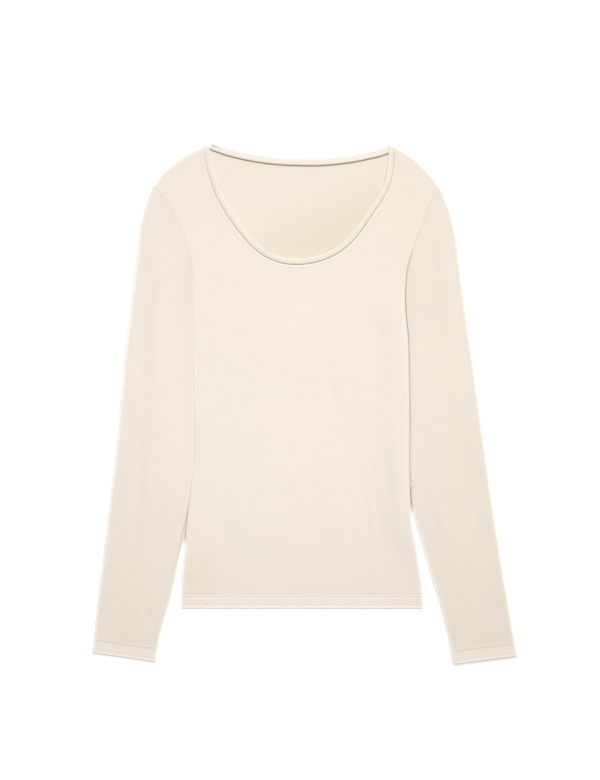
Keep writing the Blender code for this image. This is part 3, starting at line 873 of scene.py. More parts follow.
def close_highlight(distance, heights):
    """Painted highlight on the two edges where the left sleeve lies close beside the body."""
    return in_band(distance, CLOSE_RIM) * smooth_step((heights - CLOSE_ABOVE) / NEAR_RAMP)


def plan_area(rows):
    """The area of a grid of plan points, in square metres."""
    x, y = rows[..., 0], rows[..., 1]
    one = (x[1:, 1:] - x[:-1, :-1]) * (y[1:, :-1] - y[:-1, 1:])
    two = (y[1:, 1:] - y[:-1, :-1]) * (x[1:, :-1] - x[:-1, 1:])
    return float(np.abs(one - two).sum() / 2) * MM * MM


def panel_highlights(gaps):
    """Painted highlights on a panel along the garment's outline and the edge that lies on the
    sleeve.
    """
    heights = gaps["hem"]
    sides = [outline_highlight(gaps["side_" + side]) * below_split(side, heights) for side in SIDES]
    on_sleeve = in_band(gaps["side_right"], ON_SLEEVE_RIM)
    others = (in_band(heights, TURNED_RIM), outline_highlight(gaps["shoulder"]), on_sleeve)
    return np.maximum.reduce((*sides, *others))


def front_highlights(gaps):
    """The front also gets painted highlights beside the neck's seam and the left sleeve."""
    by_neck = in_band(gaps["neck"], NECK_RIM) * low_on_neck(gaps["hem"])
    by_sleeve = close_highlight(gaps["side_left"], gaps["hem"])
    return np.maximum.reduce((panel_highlights(gaps), by_neck, by_sleeve))


def front_shade(gaps):
    """Painted shade beside the front's edges, in the seam colour."""
    heights = gaps["hem"]
    joined = {"side_" + side: 1 - below_split(side, heights) for side in SIDES}
    deep = {
        "side_left": near_split("left", heights),
        "arm_right": low_on_armhole(heights),
        "neck": low_on_neck(heights),
    }
    shades = [
        seam_shade(gaps[edge], seam, deep.get(edge, 0.0)) * joined.get(edge, 1.0)
        for edge, seam in FRONT_SEAMS.items()
    ]
    return np.maximum.reduce(shades)


def back_shade(gaps):
    """Painted shade beside the back's neck seam, in the seam colour."""
    return seam_shade(gaps["neck"], BACK_NECK_SEAM)


def corner_shade(plan):
    """Painted shade: the front is a little darker and warmer in its lower corners, where it bends
    down to the surface.
    """
    return np.maximum.reduce(
        [
            strength * np.exp(-(((plan - (x, y)) ** 2).sum(axis=1) / size**2))
            for x, y, size, strength in CORNER_SHADES
        ]
    )


def inside_shade(plan):
    """Painted shade: the inside of the back is darker and warmer low in the scoop, towards the
    right, where the front shades it.
    """
    x, y = plan.T
    return smooth_step((INSIDE_SHADE_BELOW - y + INSIDE_SHADE_SLOPE * x) / INSIDE_SHADE_RAMP)


def make_panel(name, neck, neck_share, heights, rows, looks, material):
    """The front or the back: two grids welded at the chest line, a wall between two heights."""
    body = body_plan(rows)
    yoke = yoke_plan(body[-1], neck, neck_share)
    bm = bmesh.new()
    add_sheet(bm, body)
    add_sheet(bm, yoke)
    bmesh.ops.remove_doubles(bm, verts=bm.verts[:], dist=WELD)
    raised = bmesh.ops.extrude_face_region(bm, geom=bm.faces[:])["geom"]
    upper = {item for item in raised if isinstance(item, bmesh.types.BMVert)}
    is_upper = np.array([vert in upper for vert in bm.verts])
    plan = np.array([vert.co.xy for vert in bm.verts])
    gaps = panel_distances(plan, neck)
    under, over = heights(plan, gaps, rows)
    for vert, height in zip(bm.verts, np.where(is_upper, over, under)):
        vert.co.z = height
    bmesh.ops.recalc_face_normals(bm, faces=bm.faces[:])
    # Painted shade beside the seams, painted darker and warmer shade, and painted highlights.
    shade, warmth, rim = looks
    attributes = {
        "cut": ("FLOAT_VECTOR", cut_places(plan)),
        "shade": ("FLOAT", shade(gaps) * is_upper),
        "warmth": ("FLOAT", warmth(plan) * is_upper),
        "rim": ("FLOAT", rim(gaps)),
    }
    piece = make_piece(bm, name, material, attributes)
    flat = (np.ptp(plan[:, 0]) * MM, np.ptp(plan[:, 1]) * MM)
    hem_area = flat[0] * rows[-1] * MM
    return piece, (flat[0], flat[1] + rows[-1] * MM), plan_area(body) + plan_area(yoke) + hem_area


# ------------------------------------------------------------ sleeves
def tuck_at(side, heights):
    """How far the sleeve's inner edge lies under the body."""
    if side == "left":
        return np.zeros(len(heights))
    above = smooth_step((TUCK_TOP - heights) / TUCK_RAMP)
    below = smooth_step((heights - SLEEVE_RIGHT_INNER[-1][1]) / TUCK_RAMP)
    return (TUCK + SIDE_GAPS[side]) * above * below


def sleeve_edges(side, rows):
    """The sleeve's inner and outer edges, a point for each ring from the cuff to the armhole."""
    sign = 1 if side == "right" else -1
    free = SLEEVE_INNERS[side]
    close = np.concatenate([row + GROOVE_STEPS for row in rows] + [rows[-1] + RIDGE_STEPS])
    low = np.unique(np.concatenate((EDGE_STEPS, np.arange(6.6, close.min(), 2.2), close)))
    top = close.max() + 2
    size = reach(free)[-1]
    high = np.linspace(top, size, round((size - top) / CELL) + 1)
    inner = walk(free, np.concatenate((low, high)))
    joined = SIDES[side][SIDES[side][:, 1] > inner[-1, 1]]
    last = reach(joined)[-1] - EDGE_STEPS[::-1]
    even = np.linspace(CELL, last[0], round(last[0] / CELL))
    joined = walk(joined, np.concatenate((even, last[1:])))
    joined[:, 0] += sign * (SIDE_GAPS[side] - tuck_at(side, joined[:, 1]))
    inner = np.vstack((inner, joined))
    path = SLEEVE_OUTERS[side]
    outward = (path[0] - free[0]) / np.linalg.norm(path[0] - free[0])
    inner += fall(reach(inner), CORNER, CORNER_IN)[:, None] * outward

    share = (inner[:, 1] - inner[0, 1]) / (inner[-1, 1] - inner[0, 1])
    low = path[0, 1] - inner[0, 1]
    high = path[-1, 1] - inner[-1, 1]
    heights = inner[:, 1] + low + (high - low) * share**3
    outer = np.stack((at_height(path, heights), heights), axis=1)
    outer -= fall(reach(outer), CORNER, CORNER_IN)[:, None] * outward
    return inner, outer, share


def sleeve_spines(side, inner, outer, share):
    """Plan points across the sleeve, a row for each ring, and the sewn edge at the armhole."""
    sign = 1 if side == "right" else -1
    armhole = ARMHOLES[side]
    gap = mix(*SEWN_GAPS[side], low_on_armhole(armhole[:, 1])[:, None])
    sewn = armhole - sign * gap * normals(armhole)
    size = reach(sewn)[-1]
    width = np.linalg.norm(outer[len(outer) // 2] - inner[len(inner) // 2])
    stations = even_ends(width, CELL) / width
    far = walk(sewn, SLEEVE_FOLD + (size - 2 * SLEEVE_FOLD) * stations)[::-1]

    ways = inner - outer
    ways /= np.linalg.norm(ways, axis=1)[:, None]
    closing = smooth_step((share - CLOSING_STARTS) / (1 - CLOSING_STARTS))[:, None]
    start = outer + SLEEVE_FOLD * ways
    start += (far[0] - start[-1]) * closing
    end = inner - SLEEVE_FOLD * ways
    end += (far[-1] - end[-1]) * closing
    near = mix(start[0], end[0], stations[:, None])
    return patch(near, far, start, end, stations, share, bend=2.0), sewn


def sleeve_cut(inner, across):
    """The knit's own coordinates, round each ring of both skins and along the inner edge."""
    turn = across - across[:, -1:] / 2
    back = turn[:, ::-1]
    pad = FOLD_POINTS - 1
    folds = [np.repeat(side[:, -1:], pad, 1) for side in (turn, back)]
    around = np.hstack((turn, folds[0], back, folds[1], turn[:, :1]))
    along = np.repeat(reach(inner)[:, None], around.shape[1], 1)
    cut = np.stack((around, along, np.zeros_like(along)), axis=2)
    return np.concatenate((cut, cut[::-1], cut[:1])).reshape(-1, 3)


def sleeve_looks(side, plan):
    """How much the sleeve's edges show, at its points in the plan."""
    heights = plan[:, 1]
    is_left = side == "left"
    apart = below_split(side, heights)
    from_body = distance_from(SIDES[side], plan)
    from_arm = distance_from(ARMHOLES[side], plan)
    from_cuff = distance_from(np.array((SLEEVE_OUTERS[side][0], SLEEVE_INNERS[side][0])), plan)
    own_seam = seam_shade(distance_from(smooth_path(SLEEVE_LEFT_SEAM), plan), OWN_SEAM) * is_left
    shades = (
        seam_shade(from_body, BODY_SEAMS[side], near_split(side, heights)) * (1 - apart),
        seam_shade(from_arm, ARM_SEAMS[side], low_on_armhole(heights)),
        # painted shade along the cuff's edge
        seam_shade(from_cuff, CUFF_EDGE_SHADE),
        own_seam * smooth_step((heights - SLEEVE_LEFT_SEAM[0][1]) / OWN_SEAM_RAMP),
    )
    highlights = (
        outline_highlight(distance_from(SLEEVE_OUTERS[side], plan)),
        outline_highlight(distance_from(SLEEVE_INNERS[side], plan)) * apart,
        in_band(from_cuff, TURNED_RIM),
        close_highlight(from_body, heights) * is_left,
    )
    # painted shade, darker and warmer towards the cuff
    warmth = SLEEVE_SHADES[side] * smooth_step((SLEEVE_SHADE_BELOW - heights) / SLEEVE_SHADE_RAMP)
    return np.maximum.reduce(shades), np.maximum.reduce(highlights), warmth, from_cuff


def make_sleeve(side, rows, material):
    """A flattened tube, open at both ends: rings up the outer skin and down the inner one."""
    inner, outer, share = sleeve_edges(side, rows)
    spines, sewn = sleeve_spines(side, inner, outer, share)
    plan = spines.reshape(-1, 2)
    shape = spines.shape[:2]
    cuff_gap = np.abs((plan - spines[0, 0]) @ normals(spines[0, [0, -1]])[0]).reshape(shape)
    arm_gap = distance_from(sewn, plan).reshape(shape)
    across = np.linalg.norm(spines - spines[:, :1], axis=2)
    side_gap = np.minimum(across, across[:, -1:] - across)

    wall = CLOTH + turn_up(cuff_gap, rows[-1])
    top = LAYER_GAP / 2 + wall
    swell = np.sin(np.pi * share)[:, None] * np.sin(np.pi * across / across[:, -1:]) ** 2
    relief = (creases(plan, SLEEVE_CREASES[side]) + ripple(plan)).reshape(shape)
    swell = SLEEVE_SWELL * swell + relief * smooth_step(side_gap / RELIEF_INSET)
    rim = fall(cuff_gap, CUFF_ROUND, wall / 2 - LIP / 2)
    drawn = rim + sum(groove(cuff_gap, row, CUFF_DRAWN) for row in rows)
    low_arm = low_on_armhole(spines[..., 1])
    arm_fall = rounding(arm_gap, SLEEVE_ROUNDS[side], low_arm)
    arm_fall -= ridge(arm_gap, SLEEVE_RIDGES[side], low_arm)
    soften = fall(side_gap, FOLD_ROUND, SLEEVE_MIDDLE - SLEEVE_FOLD)
    out = top - np.maximum.reduce((drawn, arm_fall, soften))
    within = np.minimum(LAYER_GAP / 2 + rim, out - LIP)
    swell *= smooth_step(arm_gap / SWELL_INSET)
    swell += cuff_ridges(cuff_gap, rows) * smooth_step(side_gap / RIDGE_INSET)
    if side == "right":
        outside = spines[..., 0] > at_height(SIDES[side], spines[..., 1])
        body_gap = distance_from(SIDES[side], plan).reshape(shape)
        beside = smooth_step(body_gap / BESIDE_RAMP) * smooth_step(arm_gap / BESIDE_ARM_RAMP)
        swell += ON_TOP_SWELL * np.where(outside, beside, 0)
    swell = np.maximum(swell, LOWEST_SWELL)
    middle = SLEEVE_MIDDLE + turn_up(cuff_gap, rows[-1])
    outer_skin, inner_skin = (sleeve_rings(spines, middle, level, swell) for level in (out, within))
    rings = np.concatenate((outer_skin, inner_skin[::-1], outer_skin[:1]))

    bm = bmesh.new()
    layer = bm.verts.layers.float_vector.new("cut")
    for vert, place in zip(add_sheet(bm, rings), sleeve_cut(inner, across)):
        vert[layer] = place
    bmesh.ops.remove_doubles(bm, verts=bm.verts[:], dist=WELD)
    bmesh.ops.recalc_face_normals(bm, faces=bm.faces[:])
    # Painted shade, painted highlights and painted darker and warmer shade; the turned-up cuff is
    # also paler.
    shade, rim, warmth, from_cuff = sleeve_looks(side, np.array([vert.co.xy for vert in bm.verts]))
    rim = np.maximum(rim, DOUBLED * smooth_step(rows[-1] - from_cuff))
    attributes = {"shade": ("FLOAT", shade), "rim": ("FLOAT", rim), "warmth": ("FLOAT", warmth)}
    piece = make_piece(bm, "sleeve_" + side, material, attributes)
    width = 2 * np.linalg.norm(outer - inner, axis=1).max()
    size = reach(inner)[-1] + rows[-1]
    return piece, (width * MM, size * MM), 2 * plan_area(spines)


def sleeve_rings(spines, middle, level, swell):
    """The rings of one skin: over the top, round the inner edge, below, round the outer edge."""
    rings = []
    angles = np.pi * np.arange(1, FOLD_POINTS) / FOLD_POINTS
    for spine, centre, radius, rise in zip(spines, middle, level, swell):
        top = np.column_stack((spine, centre + radius + rise))
        below = np.column_stack((spine, centre - radius))[::-1]
        folds = []
        for at, beside, turn in ((-1, -2, 1), (0, 1, -1)):
            way = (spine[at] - spine[beside]) / np.linalg.norm(spine[at] - spine[beside])
            out = spine[at] + way * (radius[at] * np.sin(angles))[:, None]
            folds.append(np.column_stack((out, centre[at] + turn * radius[at] * np.cos(angles))))
        rings.append(np.vstack((top, folds[0], below, folds[1], top[:1])))
    return np.array(rings)


# ------------------------------------------------------------ the binding
def binding_half(half, width):
    """The binding's two edges along half of the neck, and the distance from the nearer shoulder."""
    neck = NECKS[half]
    narrower = BINDING_NARROWER if half == "front" else 0.0
    size = reach(neck)[-1]
    path = walk(neck, np.linspace(0, size, round(size / BINDING_STEP) + 1))
    along = reach(path)
    near_end = np.minimum(along, along[-1] - along)
    folds = np.where((along < along[-1] / 2)[:, None], FOLD_LEFT, FOLD_RIGHT)
    sewn = path + NECK_GAPS[half] * normals(path)
    widths = width - narrower * (1 - bell((along / along[-1] - 0.5) / BOTTOM_SHARE))
    free = sewn + widths[:, None] * normals(path)
    return sewn, mix(free, folds, (1 - smooth_step(near_end / FAN))[:, None]), near_end


def quarter(value):
    """A quarter circle's height: 0 at 0, and 1 from 1 on."""
    return np.sqrt(1 - (1 - np.clip(value, 0, 1)) ** 2)


def binding_sections(sewn, free, middle, face, turned, low, wall):
    """The binding's sections: domed on the side that shows. turned is 0 in front and 1 behind."""
    across = BINDING_ACROSS
    turned = turned[:, None]
    start = mix(*DOME_STARTS, np.maximum(low[:, None], BACK_DOME * turned))
    domed = mix(start, 1, quarter(across / DOME_ENDS[0])) * quarter((1 - across) / DOME_ENDS[1])
    flat = (1 + quarter(across / FLAT_ENDS[0])) / 2 * quarter((1 - across) / FLAT_ENDS[1])
    outer = mix(domed, flat, turned)
    inner = mix(flat, domed, turned)
    places = np.concatenate((across, across[-2:0:-1]))
    through = np.hstack((outer, -inner[:, -2:0:-1])) * wall[:, None] / 2
    plan = sewn[:, None] + (free - sewn)[:, None] * places[:, None]
    rows = np.dstack((plan, np.repeat(middle[:, None], len(places), 1)))
    rows = rows + face[:, None] * through[..., None]
    return np.concatenate((rows, rows[:, :1]), axis=1)


def over_shoulder(start, end):
    """The sections that carry the binding over a shoulder's fold, from one half to the other."""
    share = np.arange(1, TURN_PARTS) / TURN_PARTS
    angle = np.pi * share
    fold = start[1] - start[0]
    out = np.array((-fold[1], fold[0])) / np.linalg.norm(fold)
    if fold[0] < 0:
        out = -out
    radius = abs(start[2] - end[2]) / 2
    drop = (np.sin(angle) * FOLD_DROP)[:, None] * out
    edges = [mix(first, last, share[:, None]) - drop for first, last in zip(start[:2], end[:2])]
    rise = np.cos(angle) * (1 if start[2] > end[2] else -1)
    face = np.column_stack((np.sin(angle)[:, None] * out, rise))
    turned = share if start[2] > end[2] else 1 - share
    nothing = np.zeros(len(share))
    walls = np.full(len(share), start[3])
    return (*edges, (start[2] + end[2]) / 2 + rise * radius, walls, face, turned, nothing, nothing)


def binding_looks(sewn, free, turned, fold_shadow, low, rows, around):
    """Painted shade and painted highlights at each of the binding's points."""
    neck = NECKS["front"]
    width = np.linalg.norm(free - sewn, axis=1)[:, None]
    from_seam = (1 - np.abs(around - 1))[None, :] * width
    from_free = width - from_seam
    x = rows[:, :1, 0]
    along_scoop = low * SCOOP_SEAM * (1 + smooth_step(x / SCOOP_SEAM_RAMP + 1))
    (front_width, front_strength), (back_width, back_strength) = BINDING_SEAMS
    strength = mix(front_strength + along_scoop, back_strength, turned)
    seam = Seam(mix(front_width, back_width, turned), (strength, strength))
    # Painted shade beside the seam, and painted shadows on the back of the binding by the
    # shoulders.
    shade = np.maximum(seam_shade(from_seam, seam), fold_shadow * in_band(from_seam, BACK_SHADOW))
    # Painted highlights: at the shoulders' folds, along the front's free edge, and along the back's
    # free edge, over a back that is paler throughout.
    plan = rows[..., :2].reshape(-1, 2)
    ends = ((neck[0], FOLD_LEFT), (neck[-1], FOLD_RIGHT))
    folds = [distance_from(np.array(line), plan) for line in ends]
    at_fold = FOLD_RIM * outline_highlight(np.minimum(*folds)).reshape(shade.shape)
    everywhere, to_right, high_right = FREE_RIM
    rising = to_right + high_right * (1 - low)
    strength = everywhere + smooth_step(x / FREE_RIM_RAMP + 0.5) * rising
    in_front = strength * outline_highlight(FREE_RIM_NARROWER * from_free) * (1 - turned)
    behind = turned * np.maximum(BACK_RIM, outline_highlight(from_free))
    return shade, np.maximum.reduce((behind, at_fold, in_front))


def binding_half_sections(half, width, wall):
    """What the binding's sections along half of the neck are made from."""
    is_back = half == "back"
    sewn, free, near_end = binding_half(half, width)
    pressed = 1 - smooth_step((near_end - FAN) / BINDING_PRESSED)
    walls = wall * mix(1, BINDING_THIN, pressed)
    middle = walls / 2 if is_back else mix(BINDING_LOW, BINDING_HIGH, pressed)
    face = np.tile((0.0, 0.0, -1.0 if is_back else 1.0), (len(sewn), 1))
    # Painted shadows on the back of the binding, by the shoulders.
    shadow = np.where(sewn[:, 0] < 0, BACK_SHADOWS["left"], BACK_SHADOWS["right"])
    fold_shadow = (1 - smooth_step((near_end - FAN) / BACK_SHADOW_LENGTH)) * shadow * is_back
    low = np.zeros(len(sewn)) if is_back else low_on_neck(sewn[:, 1])
    return sewn, free, middle, walls, face, np.full(len(sewn), float(is_back)), fold_shadow, low


def make_binding(sizes, material):
    """One rolled strip round the neck: along the front and the back, and over both shoulders."""
    widths = {"front": sizes.binding_front / MM, "back": sizes.binding_back / MM}
    wall = sizes.binding_wall / MM
    front, back = (binding_half_sections(half, width, wall) for half, width in widths.items())
    ends = [[tuple(item[at] for item in half[:4]) for at in (0, -1)] for half in (front, back)]
    parts = (
        front,
        over_shoulder(ends[0][1], ends[1][1]),
        [item[::-1] for item in back],
        over_shoulder(ends[1][0], ends[0][0]),
    )
    closed = [np.concatenate((*column, column[0][:1])) for column in zip(*parts)]
    sewn, free, middle, walls, face, turned, fold_shadow, low = closed
    rows = binding_sections(sewn, free, middle, face, turned, low, walls)
    along = reach((sewn + free) / 2)
    around = np.concatenate((BINDING_ACROSS, 2 - BINDING_ACROSS[-2::-1]))
    cut = np.broadcast_arrays(around[None, :] * widths["front"], along[:, None], 0.0)
    shares = (item[:, None] for item in (turned, fold_shadow, low))
    shade, rim = binding_looks(sewn, free, *shares, rows, around)

    bm = bmesh.new()
    cut_layer = bm.verts.layers.float_vector.new("cut")
    shade_layer = bm.verts.layers.float.new("shade")
    highlight_layer = bm.verts.layers.float.new("rim")
    looks = zip(np.stack(cut, axis=2).reshape(-1, 3), shade.ravel(), rim.ravel())
    for vert, (place, amount, pale) in zip(add_sheet(bm, rows), looks):
        vert[cut_layer] = place
        vert[shade_layer] = amount
        vert[highlight_layer] = pale
    bmesh.ops.remove_doubles(bm, verts=bm.verts[:], dist=WELD)
    bmesh.ops.recalc_face_normals(bm, faces=bm.faces[:])
    piece = make_piece(bm, "neck_binding", material, {})
    return piece, along[-1] * MM, (sum(widths.values()) / 2 + wall) * MM


# ------------------------------------------------------------ the stitches
def surface_tree(piece):
    """A finished piece's surface, to set stitches on."""
    bm = bmesh.new()
    bm.from_mesh(piece.data)
    tree = BVHTree.FromBMesh(bm)
    bm.free()
    return tree


def sew_row(bm, tree, path, sizes, from_above):
    """One row of stitches along a plan path, on the upper or the lower side of a piece."""
    pitch = sizes.stitch_pitch / MM
    size = reach(path)[-1]
    spots = walk(path, np.arange(pitch, size - pitch / 2, pitch))
    ways = np.gradient(spots, axis=0)
    side = 1 if from_above else -1
    for index, (spot, way) in enumerate(zip(spots, ways)):
        place = (spot - MIDDLE) * MM
        hit, normal, _, _ = tree.ray_cast(Vector((*place, side * ABOVE_ALL)), Vector((0, 0, -side)))
        if hit is None:
            continue
        along = Vector((*way, 0)).normalized()
        up = normal if normal.z * side > 0 else -normal
        across = up.cross(along).normalized()
        along = across.cross(up)
        stretch = 1 + STITCH_VARIES * math.sin(2.4 * index + size)
        turn = Matrix((along, across, up)).transposed().to_4x4()
        half = (sizes.stitch_length / 2 * stretch, sizes.thread / 2, sizes.thread / 3)
        grow = Matrix.Diagonal((*half, 1))
        bmesh.ops.create_uvsphere(
            bm, u_segments=6, v_segments=5, radius=1.0, matrix=Matrix.Translation(hit) @ turn @ grow
        )


def make_stitches(name, piece, paths, sizes, material):
    """The rows of stitches on a piece, as one joined piece."""
    tree = surface_tree(piece)
    bm = bmesh.new()
    for path, from_above in paths:
        sew_row(bm, tree, path, sizes, from_above)
    mesh = bpy.data.meshes.new(name)
    bm.to_mesh(mesh)
    bm.free()
    mesh.shade_smooth()
    mesh.materials.append(material)
    stitches = bpy.data.objects.new(name, mesh)
    bpy.context.scene.collection.objects.link(stitches)
    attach(stitches, "root")
    return stitches


def hem_path(height):
    """A line across the body at a height above the hem."""
    start = at_height(SIDES["left"], height) + STITCH_INSET
    end = at_height(SIDES["right"], height) - STITCH_INSET
    x = np.linspace(start, end, 120)
    return np.stack((x, height + hem_wave(x)), axis=1)


def cuff_path(side, depth):
    """A line across a sleeve at a depth above its cuff."""
    inner = walk(SLEEVE_INNERS[side], [0.0, 30.0])
    way = (inner[1] - inner[0]) / np.linalg.norm(inner[1] - inner[0])
    line = np.array((SLEEVE_OUTERS[side][0], inner[0])) + way * depth
    inset = (line[1] - line[0]) / np.linalg.norm(line[1] - line[0]) * STITCH_INSET
    return np.array((line[0] + inset, line[1] - inset))


# ------------------------------------------------------------ materials
def new_material(name, settings):
    """A material with its shader's plain values set: the material, its node tree and its shader."""
    material = bpy.data.materials.new(name)
    material.use_nodes = True
    shader = material.node_tree.nodes["Principled BSDF"]
    for socket, setting in settings.items():
        shader.inputs[socket].default_value = setting
    return material, material.node_tree, shader


def node(tree, kind, **settings):
    """A shader node with some settings."""
    made = tree.nodes.new(kind)
    for key, setting in settings.items():
        setattr(made, key, setting)
    return made


def set_bump(tree, shader, height, distance):
    """Give a shader a relief of a depth in metres."""
    bump = node(tree, "ShaderNodeBump")
    bump.inputs["Strength"].default_value = 1.0
    bump.inputs["Distance"].default_value = distance
    tree.links.new(height, bump.inputs["Height"])
    tree.links.new(bump.outputs["Normal"], shader.inputs["Normal"])


def set_tone(tree, shader, base, tone):
    """Give a shader a colour, or a socket's, multiplied by a tone."""
    scaled = node(tree, "ShaderNodeVectorMath", operation="SCALE")
    connect(tree, base, scaled.inputs[0])
    tree.links.new(tone, scaled.inputs["Scale"])
    tree.links.new(scaled.outputs[0], shader.inputs["Base Color"])


def connect(tree, source, socket):
    """Link a socket, or set a plain value, into an input."""
    if isinstance(source, bpy.types.NodeSocket):
        tree.links.new(source, socket)
    else:
        socket.default_value = source


def feed(tree, target, sources):
    """Connect sources to a node's inputs in order."""
    for socket, source in zip(target.inputs, sources):
        connect(tree, source, socket)
    return target.outputs[0]


def reckon(tree, operation, *sources):
    """The output of a math node."""
    return feed(tree, node(tree, "ShaderNodeMath", operation=operation), sources)


def attribute(tree, label, output="Fac"):
    """What one of the piece's own attributes says."""
    return node(tree, "ShaderNodeAttribute", attribute_name=label).outputs[output]


def blend_towards(tree, label, first, second):
    """A first colour that turns into a second where the piece's attribute of that label is 1."""
    mixer = node(tree, "ShaderNodeMix", data_type="RGBA")
    connect(tree, attribute(tree, label), mixer.inputs[0])
    connect(tree, first, mixer.inputs[6])
    connect(tree, (*second, 1.0), mixer.inputs[7])
    return mixer.outputs[2]


def noise(tree, place, scale, detail, stretch=(1.0, 1.0, 1.0)):
    """Noise about 0, over places in millimetres."""
    stretched = node(tree, "ShaderNodeVectorMath", operation="MULTIPLY")
    made = node(tree, "ShaderNodeTexNoise")
    tree.links.new(feed(tree, stretched, (place, stretch)), made.inputs["Vector"])
    made.inputs["Scale"].default_value = scale
    made.inputs["Detail"].default_value = detail
    return reckon(tree, "SUBTRACT", made.outputs["Fac"], 0.5)


def knit_material(name, base, cloth, lean, shade_colour=None):
    """Fine jersey. lean is how far the stitches slope; shade_colour is the colour where warmth is
    1, for painted shade.
    """
    material, tree, shader = new_material(name, JERSEY_SHADER)
    place = attribute(tree, "cut", "Vector")
    apart = node(tree, "ShaderNodeSeparateXYZ")
    tree.links.new(place, apart.inputs[0])
    wander = noise(tree, place, 0.09, 1.0)
    column = reckon(tree, "ADD", reckon(tree, "DIVIDE", apart.outputs[0], cloth.wale / MM), wander)
    beside = reckon(tree, "ABSOLUTE", reckon(tree, "SUBTRACT", reckon(tree, "FRACT", column), 0.5))
    row = reckon(tree, "DIVIDE", apart.outputs[1], cloth.course / MM)
    row = reckon(tree, "ADD", row, reckon(tree, "MULTIPLY", beside, lean))
    loops = reckon(tree, "SINE", reckon(tree, "MULTIPLY", row, math.tau))
    valley = reckon(tree, "POWER", reckon(tree, "MULTIPLY", beside, 2.0), 3.0)
    yarn = reckon(tree, "SUBTRACT", reckon(tree, "MULTIPLY", loops, LOOP_SHARE), valley)
    fuzz = noise(tree, place, 2.2, 3.0)
    relief = reckon(tree, "ADD", yarn, reckon(tree, "MULTIPLY", fuzz, FUZZ_SHARE))
    set_bump(tree, shader, relief, cloth.knit_depth / 2)

    streaks = noise(tree, place, 0.7, 2.0, (0.25, 1.0, 1.0))
    clouds = noise(tree, place, 0.02, 2.0)
    tone = reckon(tree, "MULTIPLY_ADD", streaks, STREAK_TONE, 1.0)
    tone = reckon(tree, "MULTIPLY_ADD", clouds, CLOUD_TONE, tone)
    # Painted shade in the knit's valleys, and painted highlight on its loops.
    tone = reckon(tree, "MULTIPLY_ADD", yarn, KNIT_RELIEF_SHADE, tone)
    shown = (*base, 1.0)
    # Painted shade and painted highlights: warmth turns the colour darker and warmer, shade turns
    # it towards the seam colour, and rim towards the edge colour.
    if shade_colour is not None:
        shown = blend_towards(tree, "warmth", shown, shade_colour)
    shown = blend_towards(tree, "shade", shown, cloth.seam)
    set_tone(tree, shader, blend_towards(tree, "rim", shown, cloth.edge), tone)
    return material


def thread_material(name, base):
    """Twisted sewing thread."""
    material, tree, shader = new_material(name, THREAD_SHADER)
    place = node(tree, "ShaderNodeTexCoord").outputs["Object"]
    scaled = node(tree, "ShaderNodeVectorMath", operation="SCALE")
    tree.links.new(place, scaled.inputs[0])
    scaled.inputs["Scale"].default_value = 1 / MM
    place = scaled.outputs[0]
    twist = node(tree, "ShaderNodeTexWave", bands_direction="DIAGONAL")
    twist.inputs["Scale"].default_value = 0.9
    tree.links.new(place, twist.inputs["Vector"])
    set_bump(tree, shader, twist.outputs["Fac"], TWIST_DEPTH * MM)
    tone = reckon(tree, "MULTIPLY_ADD", noise(tree, place, 0.3, 1.0), THREAD_TONE, 1.0)
    set_tone(tree, shader, base, tone)
    return material


# ------------------------------------------------------------ the operators
def stitch_rows(sizes):
    """Where the hem's and the cuffs' rows of stitches are, from the edge up, in millimetres."""
    hem = (sizes.hem_lower / MM, sizes.hem_upper / MM)
    cuff = (sizes.cuff_lower / MM, sizes.cuff_upper / MM)
    return hem, cuff


class THERMALTOP_OT_back(bpy.types.Operator):
    """Make the back panel"""

    bl_idname = "thermal_top.back"
    bl_label = "Back panel"

    def execute(self, context):
        """Make the back, with its inside up."""
        top = context.scene.thermal_top
        hem, _ = stitch_rows(top.sewing)
        cloth = top.cloth
        # the colour of the painted shade
        shade_colour = cloth.painted_shade_colour
        material = knit_material("jersey_inside", cloth.inside, cloth, INSIDE_LEAN, shade_colour)
        piece, flat, area = make_panel(
            "back_panel",
            NECKS["back"],
            NECK_SHARE_BACK,
            back_heights,
            hem,
            (back_shade, inside_shade, panel_highlights),
            material,
        )
        return {"FINISHED"}


class THERMALTOP_OT_front(bpy.types.Operator):
    """Make the front panel"""

    bl_idname = "thermal_top.front"
    bl_label = "Front panel"

    def execute(self, context):
        """Make the front, which lies on the back."""
        top = context.scene.thermal_top
        hem, _ = stitch_rows(top.sewing)
        cloth = top.cloth
        # the colour of the painted shade
        shade_colour = cloth.painted_shade_colour
        material = knit_material("jersey_front", cloth.jersey, cloth, FACE_LEAN, shade_colour)
        piece, flat, area = make_panel(
            "front_panel",
            NECKS["front"],
            NECK_SHARE_FRONT,
            front_heights,
            hem,
            (front_shade, corner_shade, front_highlights),
            material,
        )
        return {"FINISHED"}


class THERMALTOP_OT_sleeves(bpy.types.Operator):
    """Make both sleeves"""

    bl_idname = "thermal_top.sleeves"
    bl_label = "Sleeves"

    def execute(self, context):
        """Make one tube for each arm."""
        top = context.scene.thermal_top
        _, cuff = stitch_rows(top.sewing)
        cloth = top.cloth
        # the colour of the painted shade
        shade_colour = cloth.painted_shade_colour
        material = knit_material("jersey_sleeves", cloth.sleeves, cloth, FACE_LEAN, shade_colour)
        for side in ("left", "right"):
            piece, flat, area = make_sleeve(side, cuff, material)
        return {"FINISHED"}


class THERMALTOP_OT_binding(bpy.types.Operator):
    """Make the neck binding"""

    bl_idname = "thermal_top.binding"
    bl_label = "Neck binding"

    def execute(self, context):
        """Make the rolled strip round the neck."""
        top = context.scene.thermal_top
        material = knit_material("rib_binding", top.cloth.binding, top.cloth, FACE_LEAN)
        piece, girth, width = make_binding(top.sewing, material)
        return {"FINISHED"}


